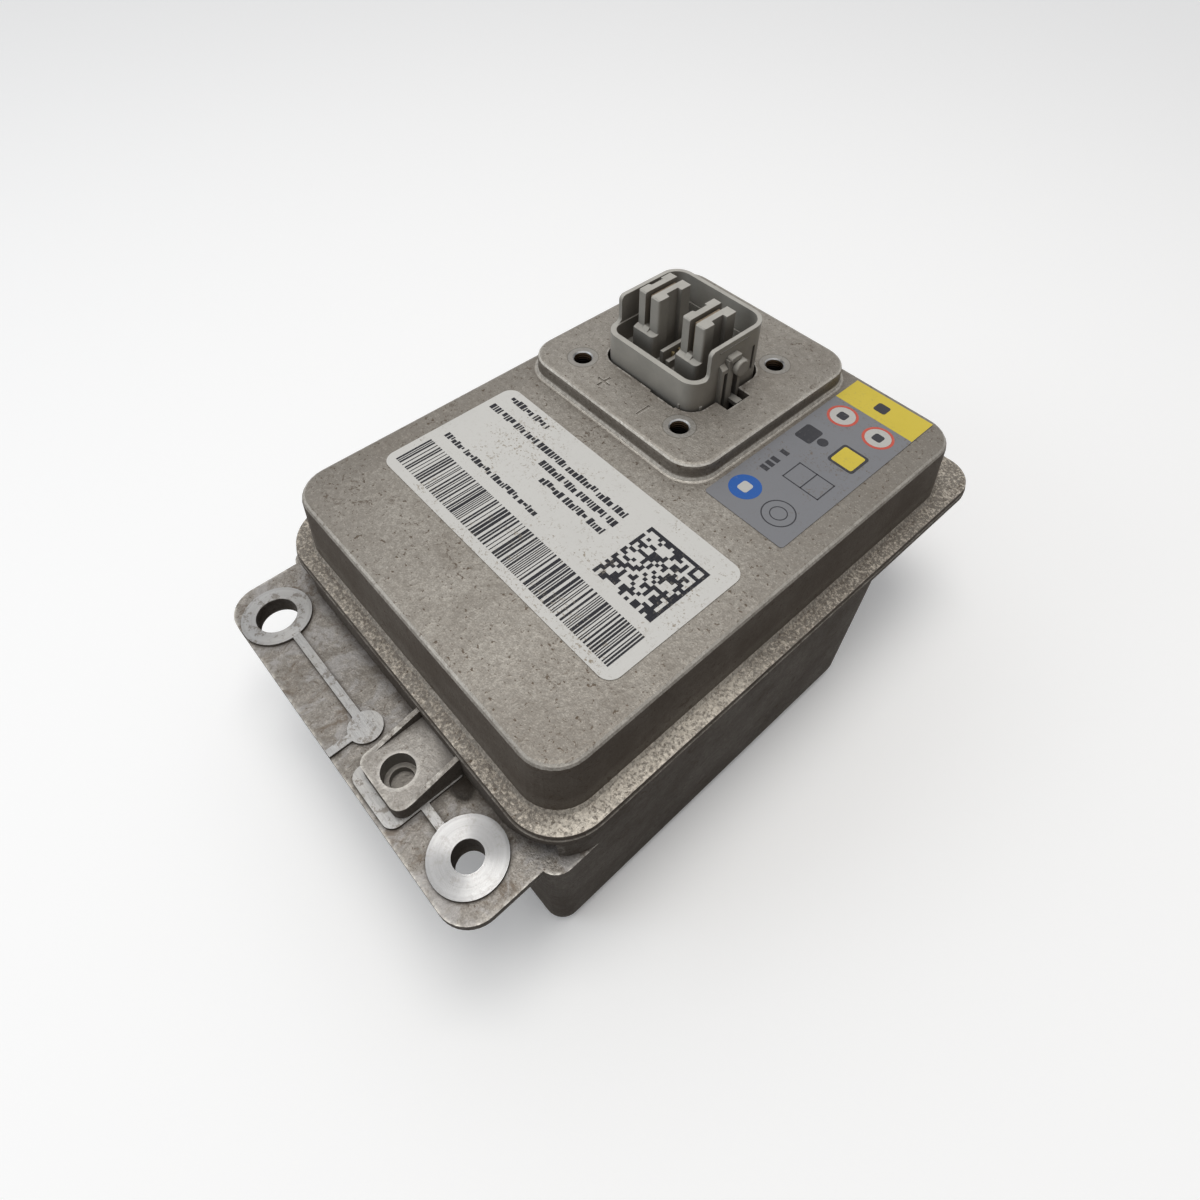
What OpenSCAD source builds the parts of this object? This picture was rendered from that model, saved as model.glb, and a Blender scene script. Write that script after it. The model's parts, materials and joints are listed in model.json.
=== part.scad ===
// Lithium car battery: a cast aluminium tub with mounting ears, a cast lid with a keyed power
// connector, and inside them four flat cells, their links and the management board.
// X runs across, +Y runs from the mounting ears to the connector, +Z is up.
// The origin is under the middle of the whole part, on the plane that the tub stands on.

/* [Housing] */
// Width over the tub's joint flange
body_w = 120.8; // [119:0.2:126]
// Height of the joint face above the ground
tub_h = 53.2; // [53:0.1:56]
// Length of the deep part of the tub
tub_l = 121.4; // [119:0.1:126]
// Length of the shallow part of the tub behind it
bay_l = 44.3; // [43:0.1:48]
// Wall of the tub
tub_wall = 2.5; // [2:0.1:3]
// Floor of the tub
tub_floor = 2.5; // [2:0.1:2.6]
// Round along the tub's bottom edge
foot_r = 5; // [3:0.5:6]
// Draft of the tub wall, as a share of its height
tub_draft = 0.03; // [0.01:0.01:0.03]
// Vertical corner radius at the front of the tub, below the ear plate
tub_front_r = 5; // [4:0.5:8]
// Vertical corner radius at the back of the tub
tub_rear_r = 10; // [6:1:12]
// Thickness of the tub's joint flange
base_flange_t = 1.6; // [1.4:0.1:2.4]
// Thickness of the lid's joint flange
lid_flange_t = 1.6; // [1.2:0.1:2.4]
// Corner radius of both flanges at the front
flange_front_r = 14.5; // [11:0.5:16]
// Corner radius of both flanges at the back
flange_rear_r = 9.8; // [8:0.1:14]
// Thickness of the sealant bead in the joint
bead_t = 0.2; // [0.1:0.05:0.4]

/* [Lid] */
// Height of the lid top above its flange
lid_h = 19.2; // [18.9:0.1:22]
// Ledge beside the lid top
lid_side_gap = 6.4; // [5.8:0.1:7]
// Ledge in front of the lid top
lid_front_gap = 5.85; // [5.5:0.05:6.5]
// Ledge behind the lid top
lid_rear_gap = 10.85; // [10:0.05:12]
// Wall of the lid
lid_wall = 2.5; // [2:0.1:2.7]
// How far the lid wall leans out over its height
lid_lean = 1.1; // [0.5:0.1:1.5]
// Corner radius of the lid top
lid_r = 10; // [8:0.5:12]
// Round along the lid's top edge
lid_edge_r = 1.8; // [1:0.1:2]
// Height of the connector pad above the lid top
pad_h = 5.4; // [5:0.1:7]
// Size of the pad across
pad_w = 69; // [66:0.5:70]
// Size of the pad along Y
pad_l = 69.4; // [68:0.1:70]
// Corner radius of the pad
pad_r = 9; // [6:0.5:11]
// Pitch of the square of tapped holes in the pad
hole_pitch = 40; // [39:0.5:42]
// Radius of the tapped holes in the pad
hole_r = 2.5; // [1.6:0.1:2.7]
// Depth of the tapped holes in the pad
hole_deep = 6.5; // [5:0.1:6.5]

/* [Ears] */
// How far the ear plate stands out in front of the flange
ear_reach = 21.3; // [20.5:0.1:24]
// Width of the ear plate
ear_w = 112.6; // [109:0.2:114]
// Thickness of the ear plate
ear_t = 2.4; // [2:0.1:4]
// Height of the machined mounting faces above the ground
ear_face = 44; // [41:0.5:45]
// How far the machined faces stand above the plate
face_rise = 0.9; // [0.5:0.1:1.5]
// Distance between the two mounting holes
ear_pitch = 86.1; // [82:0.1:88]
// Radius of the machined rings
ring_r = 9.3; // [8.5:0.1:10]
// Radius of the right mounting hole
right_hole_r = 3.8; // [3:0.1:4.5]
// Radius of the left mounting hole
left_hole_r = 5.45; // [4:0.05:6]
// Distance of the right hole from the plate's front edge
right_hole_in = 11.3; // [10.5:0.1:11.6]
// Distance of the left hole from the plate's front edge
left_hole_in = 9.4; // [9.4:0.1:11]
// Thickness of the left boss
left_boss_t = 5.3; // [4:0.1:8]
// Thickness of the right boss
right_boss_t = 8; // [5:0.5:10]
// Width of the block between the ears
block_w = 17.5; // [15:0.5:18.5]
// Distance of the block's centre from the middle
block_x = 18.3; // [17:0.1:19]
// Height of the block above the machined faces
block_h = 4.4; // [3:0.1:5]
// Radius of the block's counterbore
block_bore_r = 4.2; // [3.6:0.1:5]
// Radius of the block's inner hole
block_hole_r = 3; // [2.5:0.1:3.4]

/* [Connector] */
// Outside width of the shroud
shroud_w = 36.2; // [35:0.1:37]
// Outside length of the shroud
shroud_l = 29.8; // [29:0.1:31]
// Wall of the shroud below the low rim
shroud_wall = 1.7; // [1.4:0.1:2.2]
// Wall of the shroud above the low rim
rim_wall = 1.3; // [1:0.1:1.6]
// Height of the shroud above the pad
shroud_h = 18; // [17:0.5:20]
// Height of the low front rim above the pad
low_rim_h = 9.2; // [7:0.1:10]
// Height of the tower tops above the pad
tower_h = 21.9; // [20.5:0.1:24]
// Distance between the slots of the two towers
tower_pitch = 17; // [16.5:0.1:17.5]
// Thickness of a tower's left plate
tower_left = 2.75; // [2.4:0.05:3]
// Thickness of a tower's right plate
tower_right = 3.4; // [3:0.05:3.6]
// Length of a tower
tower_l = 12.7; // [11.5:0.1:13]
// Gap between the two plates of a tower
tower_slot = 2.1; // [1.9:0.1:2.6]
// Thickness of a power blade
blade_t = 1.2; // [0.8:0.1:1.5]
// Gap round the shroud in the lid's opening
shroud_gap = 0.85; // [0.6:0.05:1.2]

/* [Cells] */
// Room between a cell and the outside of the joint flange
cell_side = 8.4; // [8:0.1:10]
// Room in front of the cells, with the tub's front wall
cell_front = 10.2; // [9.5:0.1:12]
// Room between the cells and the power blades
cell_back = 9.45; // [9:0.05:12]
// Height of the cell stack above the joint face
stack_over = 2.1; // [1:0.1:2.2]
// Thickness of the sheets between the cells
sheet_t = 0.6; // [0.4:0.1:0.7]
// Thickness of the heat pad under the cells
heat_pad_t = 1; // [0.8:0.1:1.1]
// Thickness of the copper links
link_t = 1.2; // [0.8:0.1:1.4]
// Thickness of the circuit board
board_t = 1.6; // [1.2:0.1:1.8]

/* [Labels] */
// Length of the white label across the lid
label_w = 91.3; // [85:0.1:92]
// Width of the white label
label_l = 44.4; // [40:0.1:46]
// Width of the grey label
tag_w = 26; // [23:0.5:27]
// Length of the grey label
tag_l = 66.7; // [60:0.1:67]
// Thickness of the labels
label_t = 0.2; // [0.1:0.05:0.3]

/* [Hidden] */
$fn = 48;
hull_fn = 32;
eps = 0.01;
thin = 0.02;
fit = 0.3;

body_l = tub_l + bay_l;
total_l = body_l + ear_reach;
y_ear = -total_l / 2;
y_front = y_ear + ear_reach;
y_rear = total_l / 2;
tub_back = y_front + tub_l;
shelf_z = tub_h - base_flange_t;
lid_base = tub_h + bead_t;
flange_step = 0.4;
flange_top = lid_base + lid_flange_t;
lid_top = flange_top + lid_h;
lid_w = body_w - 2 * lid_side_gap;
lid_y0 = y_front + lid_front_gap;
lid_y1 = y_rear - lid_rear_gap;
lid_under = lid_top - lid_wall;
lid_foot = 0.8;
lid_in_w = lid_w - 2 * lid_wall;
lid_in_y0 = lid_y0 + lid_wall;
lid_in_y1 = lid_y1 - lid_wall;
bead_in = 0.7;
bead_w = 1.6;

pad_top = lid_top + pad_h;
pad_side = 2.6;
pad_rear = 2.05;
pad_x = -lid_w / 2 + pad_side + pad_w / 2;
pad_y1 = lid_y1 - pad_rear;
pad_y0 = pad_y1 - pad_l;
pad_edge_r = 1.3;
pad_foot = 1.3;
mark_w = 0.8;
mark_deep = 0.3;
mark_l = 5;
minus_dx = -0.8;
mark_y = pad_y0 + 8.1;

conn_from = 31.3;
conn_x = pad_x + 0.13;
conn_y = pad_y0 + conn_from;
hole_x = conn_x - 0.98;
hole_y = conn_y - 0.4;
hole_rim = 0.6;
front_r = 5.2;
rear_r = 6;
step_r = 1.6;
relief_x = 3.2;
relief_l = 0.6;
seal_t = 0.8;
conn_flange_t = 3;
conn_flange_top = lid_under - seal_t;
conn_flange_z = conn_flange_top - conn_flange_t;
conn_flange_w = 57.4;
conn_flange_l = 37.6;
conn_flange_r = 4;
conn_screw_dx = 24.3;
conn_screw_dy = 13.2;
conn_screw_r = 1.5;
conn_screw_deep = 5;
conn_head_r = 2.75;
conn_head_h = 1.8;
socket_floor = pad_top + 2.2;
socket_floor_t = 3;
low_rim_l = 6.1;
low_top = pad_top + low_rim_h;
rim_top = pad_top + shroud_h;

notch_w = 4.4;
notch_l = 9.3;
notch_y = conn_y - 1.1;
wall_x = conn_x + shroud_w / 2;
peg_r = 2.6;
peg_out = 2.7;
peg_y = conn_y + 2.1;
peg_z = pad_top + 9;
lug_out = 2;
lug_y0 = notch_y - 1.4;
lug_y1 = peg_y - 0.6;
lug_top = pad_top + 14;
lug_t = 1.6;
rib_out = 1.5;
rib_y = notch_y - notch_l / 2 + 0.45;
rib_t = 0.9;
rib_top = pad_top + 12;
rib_cap_l = 2.2;
rib_cap_t = 1;
wide_rib_y = notch_y - 1.9;
wide_rib_t = 2.4;
back_side_rib_y = notch_y + 2.7;
back_side_rib_t = 1.2;
tab_out = 4.7;
tab_y = notch_y - 0.2;
tab_l = 2.4;
tab_t = 1.4;
line_t = 0.15;
line_drop = 1.5;
groove_y = conn_y + 8.4;
groove_l = 1.1;
groove_deep = 0.6;
groove_z0 = pad_top + 3.4;
groove_z1 = pad_top + 11.8;
nub_r = 0.5;
nub_h = 0.9;
back_rib_w = 6;
back_rib_x = conn_x + 7.8;
back_rib_out = 1;
back_rib_h = 5;

tower_y = conn_y - 0.35;
tower_front = tower_y - tower_l / 2;
tower_groove = 4.4;
tower_groove_slope = 0.5;
tower_groove_right = 1.5;
tower_groove_left = 0.85;
tower_r_right = 0.8;
tower_r_left = 0.4;
tower_top_cut = 0.4;
tower_base_top = pad_top + 10.7;
tower_base_drop = 0.7;
tower_base_l = 1.7;
tower_base_r = 1.6;
ramp_top = tower_base_top + 0.6;
blade_w = 9.4;
blade_below_top = 1.2;
blade_y0 = tower_y - blade_w / 2;
blade_y1 = tower_y + blade_w / 2;
plus_x = conn_x - tower_pitch / 2;
minus_x = conn_x + tower_pitch / 2;
pin_s = 0.7;
pin_n = 4;
pin_pitch = 2.6;
pin_top = socket_floor + 3.6;
pin_wall_w = 3.6;
pin_wall_h = 1.6;
pin_rail_t = 1.2;
pin_rail_top = pad_top + 7.1;
pin_rail_low = pad_top + 4.9;

plate_top = ear_face - face_rise;
plate_z = plate_top - ear_t;
right_x = ear_pitch / 2;
left_x = -ear_pitch / 2;
right_y = y_ear + right_hole_in;
left_y = y_ear + left_hole_in;
strip_y = y_ear + 10.45;
strip_w = 2.2;
spot_x = 1.3;
spot_r = 4.4;
ear_r = 8.4;
boss_neck_r = 7;
block_top = ear_face + block_h;
block_y0 = y_ear + 3.95;
block_hole_y = y_ear + 10;
block_r = 3;
block_bore_deep = 5.1;
block_hole_deep = 7.3;
block_skirt = 2;
block_face_in = 1;
block_face_side = 0.4;
gusset_t = 1.3;
gusset_l = 14;
web_t = 3;
web_h = 14;
web_l = 15;
web_xs = [-30, -2, 34];

cavity_r = 18;
cavity_fillet = 1;
pocket_wall = 2.3;
pocket_side = 4.1;
bay_in = 5.5;
bay_t = 2.4;
bay_drop = 4;
bay_r = 8;

heat_pad_top = tub_floor + heat_pad_t;
cell_w = body_w - 2 * cell_side;
stack_y0 = y_front + cell_front;
stack_y1 = blade_y0 - cell_back;
cell_l = stack_y1 - stack_y0;
stack_top = tub_h + stack_over;
cell_t = (stack_top - heat_pad_top - 3 * sheet_t) / 4;
foam_inset = 4;
foam_drop = 3;
foam_room = 3;
foam_low = (tub_h - tub_floor) * tub_draft + tub_wall + cavity_fillet + fit;
can_r = 5;
term_w = 12;
term_h = 6;
term_out = 3;
term_in = 18;
term_x = cell_w / 2 - term_in;
link_y = stack_y1 + term_out;
link_y1 = link_y + link_t;
bar_w = 14;
bar_x = minus_x - 2;
vent_r = 4;

carrier_t = 3;
carrier_z = max(stack_top + 2.2, flange_top + 1.5);
carrier_top = carrier_z + carrier_t;
carrier_y0 = lid_in_y0 + 3.5;
carrier_y1 = lid_in_y1 - 3;
carrier_w = lid_in_w - 1.6;
carrier_r = 7;
board_z = carrier_top;
board_top = board_z + board_t;
board_y0 = carrier_y0 + 1;
board_y1 = link_y - 4;
board_w = carrier_w - 1;
post_r = 3.2;
post_x = lid_in_w / 2 - 3.1;
post_in = 4.2;
post_mid = 42;
rear_post_in = 6;
post_ys = [board_y0 + post_in, board_y0 + post_mid, board_y1 - post_in];
rear_post_y = carrier_y1 - rear_post_in;
screw_r = 1.25;
screw_deep = 5;
screw_head_r = 2.3;
screw_head_h = 1.6;
slot_y0 = link_y - 0.5;
slot_y1 = link_y1 + 1.2;

tab_top = carrier_top + link_t;
joint_top = tab_top + link_t;
fuse_w = 11;
blade_foot = 3.5;
fuse_x = plus_x - blade_foot - fit - fuse_w / 2;
fuse_l = 28;
fuse_from = 3;
fuse_y0 = link_y1 + fuse_from;
fuse_y1 = fuse_y0 + fuse_l;
foot_l = 7;
shunt_out = 24.25;
shunt_x = minus_x + shunt_out;
shunt_w = 12;
shunt_mid = 10;
film_t = 0.3;
strip_in = 4;
strip_x = term_x - strip_in;
film_w = 8;
film_in = 5;
socket_l = 4.5;
film_top = board_top + 1.5;
ribbon_w = 10;
ribbon_z = conn_flange_z - 2;

chip_h = 1.4;
fet_w = 6;
fet_l = 9;
fet_h = 2.3;
fet_n = 5;
fet_pitch = 9;
fet_from = 24;
fet_y = board_y0 + fet_from;
fet_row = 14;
filler_t = 1;
sink_w = fet_pitch * fet_n + 2;
sink_l = fet_row + fet_l + 3;
sink_z = board_top + fet_h + filler_t;
cap_r = 4;
cap_h = min(7.5, lid_under - board_top - 1);
cap_pitch = 11;
cap_from = 5.5;
window_x = 19;
window_w = 28;
window_l = 20;
window_from = 44;
chip_spots = [[0, 56, 12, 12], [22, 58, 7, 9], [-24, 56, 10, 6], [-30, 68, 6, 5]];

label_side = 8;
label_x = -lid_w / 2 + label_side + label_w / 2;
label_gap = 9.5;
label_y = pad_y0 - label_gap - label_l / 2;
label_r = 3.6;
tag_side = 8;
tag_rear = 2.15;
tag_x = lid_w / 2 - tag_side - tag_w / 2;
tag_y = lid_y1 - tag_rear - tag_l / 2;
tag_r = 1;

module corners(z, w, y0, y1, rf, rr) {
    // Four thin discs that a hull joins into one level of a rounded box
    for (s = [-1, 1]) {
        translate([s * (w / 2 - rf), y0 + rf, z]) cylinder(r = rf, h = thin, $fn = hull_fn);
        translate([s * (w / 2 - rr), y1 - rr, z]) cylinder(r = rr, h = thin, $fn = hull_fn);
    }
}

module plan(w, y0, y1, rf, rr) {
    // A rounded rectangle from circles and squares, which keeps its arcs true
    translate([-w / 2, y0 + rf]) square([w, y1 - y0 - rf - rr]);
    translate([-w / 2 + rf, y0]) square([w - 2 * rf, y1 - y0 - rr]);
    translate([-w / 2 + rr, y0 + rf]) square([w - 2 * rr, y1 - y0 - rf]);
    for (s = [-1, 1]) {
        translate([s * (w / 2 - rf), y0 + rf]) circle(r = rf);
        translate([s * (w / 2 - rr), y1 - rr]) circle(r = rr);
    }
}

module rounded(w, l, r) {
    plan(w, -l / 2, l / 2, r, r);
}

module box(x0, x1, y0, y1, z0, z1) {
    translate([x0, y0, z0]) cube([x1 - x0, y1 - y0, z1 - z0]);
}

module at_conn(z) {
    translate([conn_x, conn_y, z]) children();
}

module flange_plan(inset) {
    w = body_w - 2 * inset;
    plan(w, y_front + inset, y_rear - inset, flange_front_r - inset, flange_rear_r - inset);
}

module tub_level(z, inset, rf, rr) {
    // One level of the tub's drafted outline
    d = inset + (tub_h - z) * tub_draft;
    corners(z, body_w - 2 * d, y_front + d, tub_back - d, rf, rr);
}

module tub_outside() {
    hull() {
        for (a = [0, 30, 60, 90]) {
            in = foot_r * (1 - sin(a));
            tub_level(foot_r * (1 - cos(a)), in, tub_front_r, tub_rear_r);
        }
        tub_level(plate_top - thin, 0, tub_front_r, tub_rear_r);
    }
    hull() {
        tub_level(plate_z, 0, flange_front_r, tub_rear_r);
        tub_level(shelf_z, 0, flange_front_r, tub_rear_r);
    }
}

module tub_cavity() {
    rr = tub_rear_r - tub_wall;
    hull() {
        tub_level(tub_floor, tub_wall + cavity_fillet, cavity_r, rr);
        tub_level(tub_floor + 2 * cavity_fillet, tub_wall, cavity_r, rr);
        tub_level(tub_h, tub_wall, cavity_r, rr);
    }
}

module corner_pockets() {
    // Recesses under the flange at the front corners, outside the rounded cavity wall
    cx = body_w / 2 - tub_wall - cavity_r;
    cy = y_front + tub_wall + cavity_r;
    x1 = body_w / 2 - pocket_side;
    for (s = [-1, 1]) {
        scale([s, 1, 1]) difference() {
            box(cx, x1, y_front - 1, cy - cavity_r / 2, plate_top, shelf_z);
            translate([cx, cy, plate_top - 1]) {
                cylinder(r = cavity_r + pocket_wall, h = shelf_z - plate_top + 2);
            }
        }
    }
}

module bay(inset, z0, z1) {
    // The shallow part of the tub, under the connector end
    w = body_w - 2 * bay_in - 2 * inset;
    r = bay_r - inset;
    translate([0, 0, z0]) linear_extrude(z1 - z0) {
        plan(w, tub_back - 3 * bay_r, y_rear - bay_in - inset, r, r);
    }
}

module ear_faces() {
    // Machined rings, strips and pads, all at one height
    h = face_rise + eps;
    translate([0, 0, plate_top - eps]) linear_extrude(h) {
        translate([right_x, right_y]) circle(r = ring_r);
        translate([left_x, left_y]) circle(r = ring_r);
        translate([spot_x, strip_y]) circle(r = spot_r);
        translate([left_x, strip_y - strip_w / 2]) square([spot_x - left_x, strip_w]);
        translate([spot_x - strip_w / 2, y_ear]) square([strip_w, strip_y - y_ear]);
        translate([block_x, strip_y - strip_w / 2]) square([right_x - block_x, strip_w]);
        translate([block_x, 0]) {
            plan(block_w + 2 * block_face_side, y_ear + block_face_in, y_front, block_r, 1);
        }
    }
}

module ear_webs() {
    // Tapered ribs that carry the ear plate from below
    for (x = web_xs) {
        translate([x - web_t / 2, y_front + 2, plate_z]) {
            rotate([90, 0, 90]) linear_extrude(web_t) {
                polygon([[0, 0], [-web_l, 0], [0, -web_h]]);
            }
        }
    }
}

module block_gussets() {
    h = shelf_z - block_top;
    for (s = [-1, 1]) {
        x = block_x + s * (block_w / 2 - gusset_t / 2);
        translate([x - gusset_t / 2, y_front + 1, block_top - eps]) {
            rotate([90, 0, 90]) linear_extrude(gusset_t) {
                polygon([[0, 0], [-gusset_l, 0], [-1, h + eps], [0, h + eps]]);
            }
        }
    }
}

module ears() {
    y1 = y_front + tub_wall;
    translate([0, 0, plate_z]) linear_extrude(ear_t) {
        plan(ear_w, y_ear, y1, ear_r, 1);
    }
    ear_faces();
    translate([right_x, right_y, ear_face - right_boss_t]) {
        cylinder(r = boss_neck_r, h = right_boss_t - face_rise);
    }
    translate([left_x, left_y, ear_face - left_boss_t]) {
        cylinder(r = ring_r - face_rise, h = left_boss_t - face_rise);
    }
    translate([block_x, 0, plate_z - block_skirt]) {
        linear_extrude(block_top - plate_z + block_skirt) {
            plan(block_w, block_y0, y1, block_r, 1);
        }
    }
    block_gussets();
    ear_webs();
}

module ear_holes() {
    z0 = plate_z - right_boss_t;
    h = ear_face - z0 + 1;
    translate([right_x, right_y, z0]) cylinder(r = right_hole_r, h = h);
    translate([left_x, left_y, z0]) cylinder(r = left_hole_r, h = h);
    translate([block_x, block_hole_y, block_top]) {
        translate([0, 0, -block_bore_deep]) cylinder(r = block_bore_r, h = block_bore_deep + 1);
        translate([0, 0, -block_hole_deep]) cylinder(r = block_hole_r, h = block_hole_deep);
    }
}

module tub() color([0.62, 0.61, 0.58]) {
    difference() {
        union() {
            difference() {
                tub_outside();
                corner_pockets();
            }
            translate([0, 0, shelf_z]) linear_extrude(base_flange_t) flange_plan(0);
            bay(0, shelf_z - bay_drop, shelf_z + eps);
            ears();
        }
        tub_cavity();
        bay(bay_t, shelf_z - bay_drop + bay_t, tub_h + 1);
        ear_holes();
    }
}

module lid_level(z, out, inset) {
    corners(
        z, lid_w + 2 * (out - inset), lid_y0 - out + inset, lid_y1 + out - inset,
        lid_r + out - inset, lid_r + out - inset);
}

module lid_outside() {
    hull() {
        lid_level(flange_top - thin, lid_lean, 0);
        for (a = [0, 22.5, 45, 67.5, 90]) {
            in = lid_edge_r * (1 - cos(a));
            lid_level(lid_top - lid_edge_r * (1 - sin(a)) - thin, 0, in);
        }
    }
    hull() {
        lid_level(flange_top - thin, lid_lean + lid_foot, 0);
        lid_level(flange_top + lid_foot, lid_lean * (1 - lid_foot / lid_h), 0);
    }
}

module pad_level(z, out) {
    corners(
        z, pad_w + 2 * out, pad_y0 - out, min(pad_y1 + out, lid_y1 - 0.5), pad_r + out, pad_r + out);
}

module lid_pad() {
    // The raised pad, with a rounded top edge and a hollow fillet at its foot
    translate([pad_x, 0, 0]) {
        hull() {
            pad_level(lid_top - thin, 0);
            for (a = [0, 30, 60, 90]) {
                pad_level(pad_top - pad_edge_r * (1 - sin(a)) - thin, -pad_edge_r * (1 - cos(a)));
            }
        }
        hull() {
            pad_level(lid_top - thin, pad_foot);
            pad_level(lid_top + 0.13 * pad_foot, 0.5 * pad_foot);
        }
        hull() {
            pad_level(lid_top - thin, 0.5 * pad_foot + 0.03);
            pad_level(lid_top + 0.5 * pad_foot, 0.13 * pad_foot);
            pad_level(lid_top + pad_foot, 0);
        }
    }
}

module lid_cavity() {
    hull() {
        lid_level(lid_base, lid_lean, lid_wall);
        lid_level(lid_under - thin, 0, lid_wall);
    }
}

module carrier_posts(z_board, z_rear, r) {
    for (s = [-1, 1]) {
        for (y = post_ys) {
            translate([s * post_x, y, z_board]) cylinder(r = r, h = lid_under - z_board + eps);
        }
        translate([s * post_x, rear_post_y, z_rear]) cylinder(r = r, h = lid_under - z_rear + eps);
    }
}

module polarity_marks() {
    // A plus beside the left tower and a minus beside the right one
    z = pad_top - mark_deep;
    h = mark_deep + 1;
    box(plus_x - mark_l / 2, plus_x + mark_l / 2, mark_y - mark_w / 2, mark_y + mark_w / 2, z, z + h);
    box(plus_x - mark_w / 2, plus_x + mark_w / 2, mark_y - mark_l / 2, mark_y + mark_l / 2, z, z + h);
    x2 = minus_x + minus_dx;
    box(x2 - mark_w / 2, x2 + mark_w / 2, mark_y - mark_l / 2, mark_y + mark_l / 2, z, z + h);
}

module pad_holes() {
    for (sx = [-1, 1], sy = [-1, 1]) {
        translate([hole_x + sx * hole_pitch / 2, hole_y + sy * hole_pitch / 2, pad_top]) {
            translate([0, 0, -hole_deep]) cylinder(r = hole_r, h = hole_deep + 1);
            translate([0, 0, -hole_rim]) {
                cylinder(r1 = hole_r, r2 = hole_r + hole_rim + eps, h = hole_rim + eps);
            }
        }
    }
}

module shroud_plan(inset) {
    plan(
        shroud_w - 2 * inset, -shroud_l / 2 + inset, shroud_l / 2 - inset, front_r - inset,
        rear_r - inset);
}

module conn_opening() {
    z0 = lid_under - 1;
    at_conn(z0) linear_extrude(pad_top - z0 + 1) shroud_plan(-shroud_gap);
    y0 = conn_y - shroud_l / 2 - shroud_gap;
    box(
        conn_x + relief_x, conn_x + shroud_w / 2 - front_r, y0 - relief_l, y0 + 1, z0,
        pad_top + 1);
    box(
        wall_x, wall_x + shroud_gap + notch_w, notch_y - notch_l / 2, notch_y + notch_l / 2,
        z0, pad_top + 1);
}

module conn_screw_spots(z) {
    for (sx = [-1, 1], sy = [-1, 1]) {
        translate([conn_x + sx * conn_screw_dx, conn_y + sy * conn_screw_dy, z]) children();
    }
}

module lid() color([0.64, 0.63, 0.60]) {
    difference() {
        union() {
            difference() {
                union() {
                    translate([0, 0, lid_base]) {
                        linear_extrude(lid_flange_t) flange_plan(flange_step);
                    }
                    lid_outside();
                    lid_pad();
                }
                lid_cavity();
            }
            carrier_posts(board_top, carrier_top, post_r);
            box(
                -sink_w / 2, sink_w / 2, fet_y - sink_l / 2, fet_y + sink_l / 2,
                sink_z, lid_under + eps);
        }
        conn_opening();
        pad_holes();
        polarity_marks();
        conn_screw_spots(lid_under - 1) cylinder(r = conn_screw_r, h = conn_screw_deep + 1);
        for (s = [-1, 1]) {
            for (y = post_ys) {
                translate([s * post_x, y, board_top - 1]) {
                    cylinder(r = screw_r, h = screw_deep + 1);
                }
            }
            translate([s * post_x, rear_post_y, carrier_top - 1]) {
                cylinder(r = screw_r, h = screw_deep + 1);
            }
        }
    }
}

module lid_sealant() color([0.15, 0.15, 0.16]) {
    // A thin bead between the two flanges
    translate([0, 0, tub_h]) linear_extrude(bead_t) {
        difference() {
            flange_plan(bead_in);
            flange_plan(bead_in + bead_w);
        }
    }
}

module plate_plan(w, r, deep) {
    // Half of a rounded rectangle, with a groove in its outer side
    difference() {
        intersection() {
            rounded(2 * w, tower_l, r);
            translate([0, -tower_l]) square([w + 1, 2 * tower_l]);
        }
        polygon([
            [w + 1, -tower_groove / 2 - tower_groove_slope], [w, -tower_groove / 2 - tower_groove_slope],
            [w - deep, -tower_groove / 2], [w - deep, tower_groove / 2], [w + 1, tower_groove / 2]]);
    }
}

module tower_base() {
    // The low block in front of the plates, with a sloping top and one round corner
    x0 = -tower_slot / 2 - tower_left;
    x1 = tower_slot / 2 + tower_right;
    z = socket_floor - eps;
    y0 = -tower_l / 2 - tower_base_l;
    y1 = blade_y0 - tower_y - fit;
    difference() {
        translate([x0, 0, 0]) rotate([90, 0, 90]) linear_extrude(x1 - x0) {
            polygon([
                [y0, z], [y1, z], [y1, tower_base_top], [-tower_l / 2, tower_base_top],
                [y0, tower_base_top - tower_base_drop]]);
        }
        translate([x1 - tower_base_r, y0 + tower_base_r, z - 1]) difference() {
            h = tower_base_top - z + 2;
            translate([0, -tower_base_r - 1, 0]) cube([tower_base_r + 1, tower_base_r + 1, h]);
            translate([0, 0, -1]) cylinder(r = tower_base_r, h = h + 2);
        }
    }
    w = tower_slot + 2 * eps;
    translate([-w / 2, 0, 0]) rotate([90, 0, 90]) linear_extrude(w) {
        polygon([
            [y0 + 0.3, tower_base_top - tower_base_drop - eps], [y1, tower_base_top - 1], [y1, ramp_top],
            [-tower_l / 2, ramp_top]]);
    }
}

module tower() {
    // Two upright plates with the blade slot between them, on a low block
    z = socket_floor - eps;
    top = pad_top + tower_h;
    difference() {
        translate([0, 0, z]) linear_extrude(top - z) {
            translate([tower_slot / 2, 0]) {
                plate_plan(tower_right, tower_r_right, tower_groove_right);
            }
            translate([-tower_slot / 2, 0]) scale([-1, 1]) {
                plate_plan(tower_left, tower_r_left, tower_groove_left);
            }
        }
        for (s = [-1, 1]) {
            translate([0, s * tower_l / 2, top]) rotate([45, 0, 0]) {
                cube([2 * tower_l, tower_top_cut * sqrt(2), tower_top_cut * sqrt(2)], center = true);
            }
        }
    }
    tower_base();
}

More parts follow.
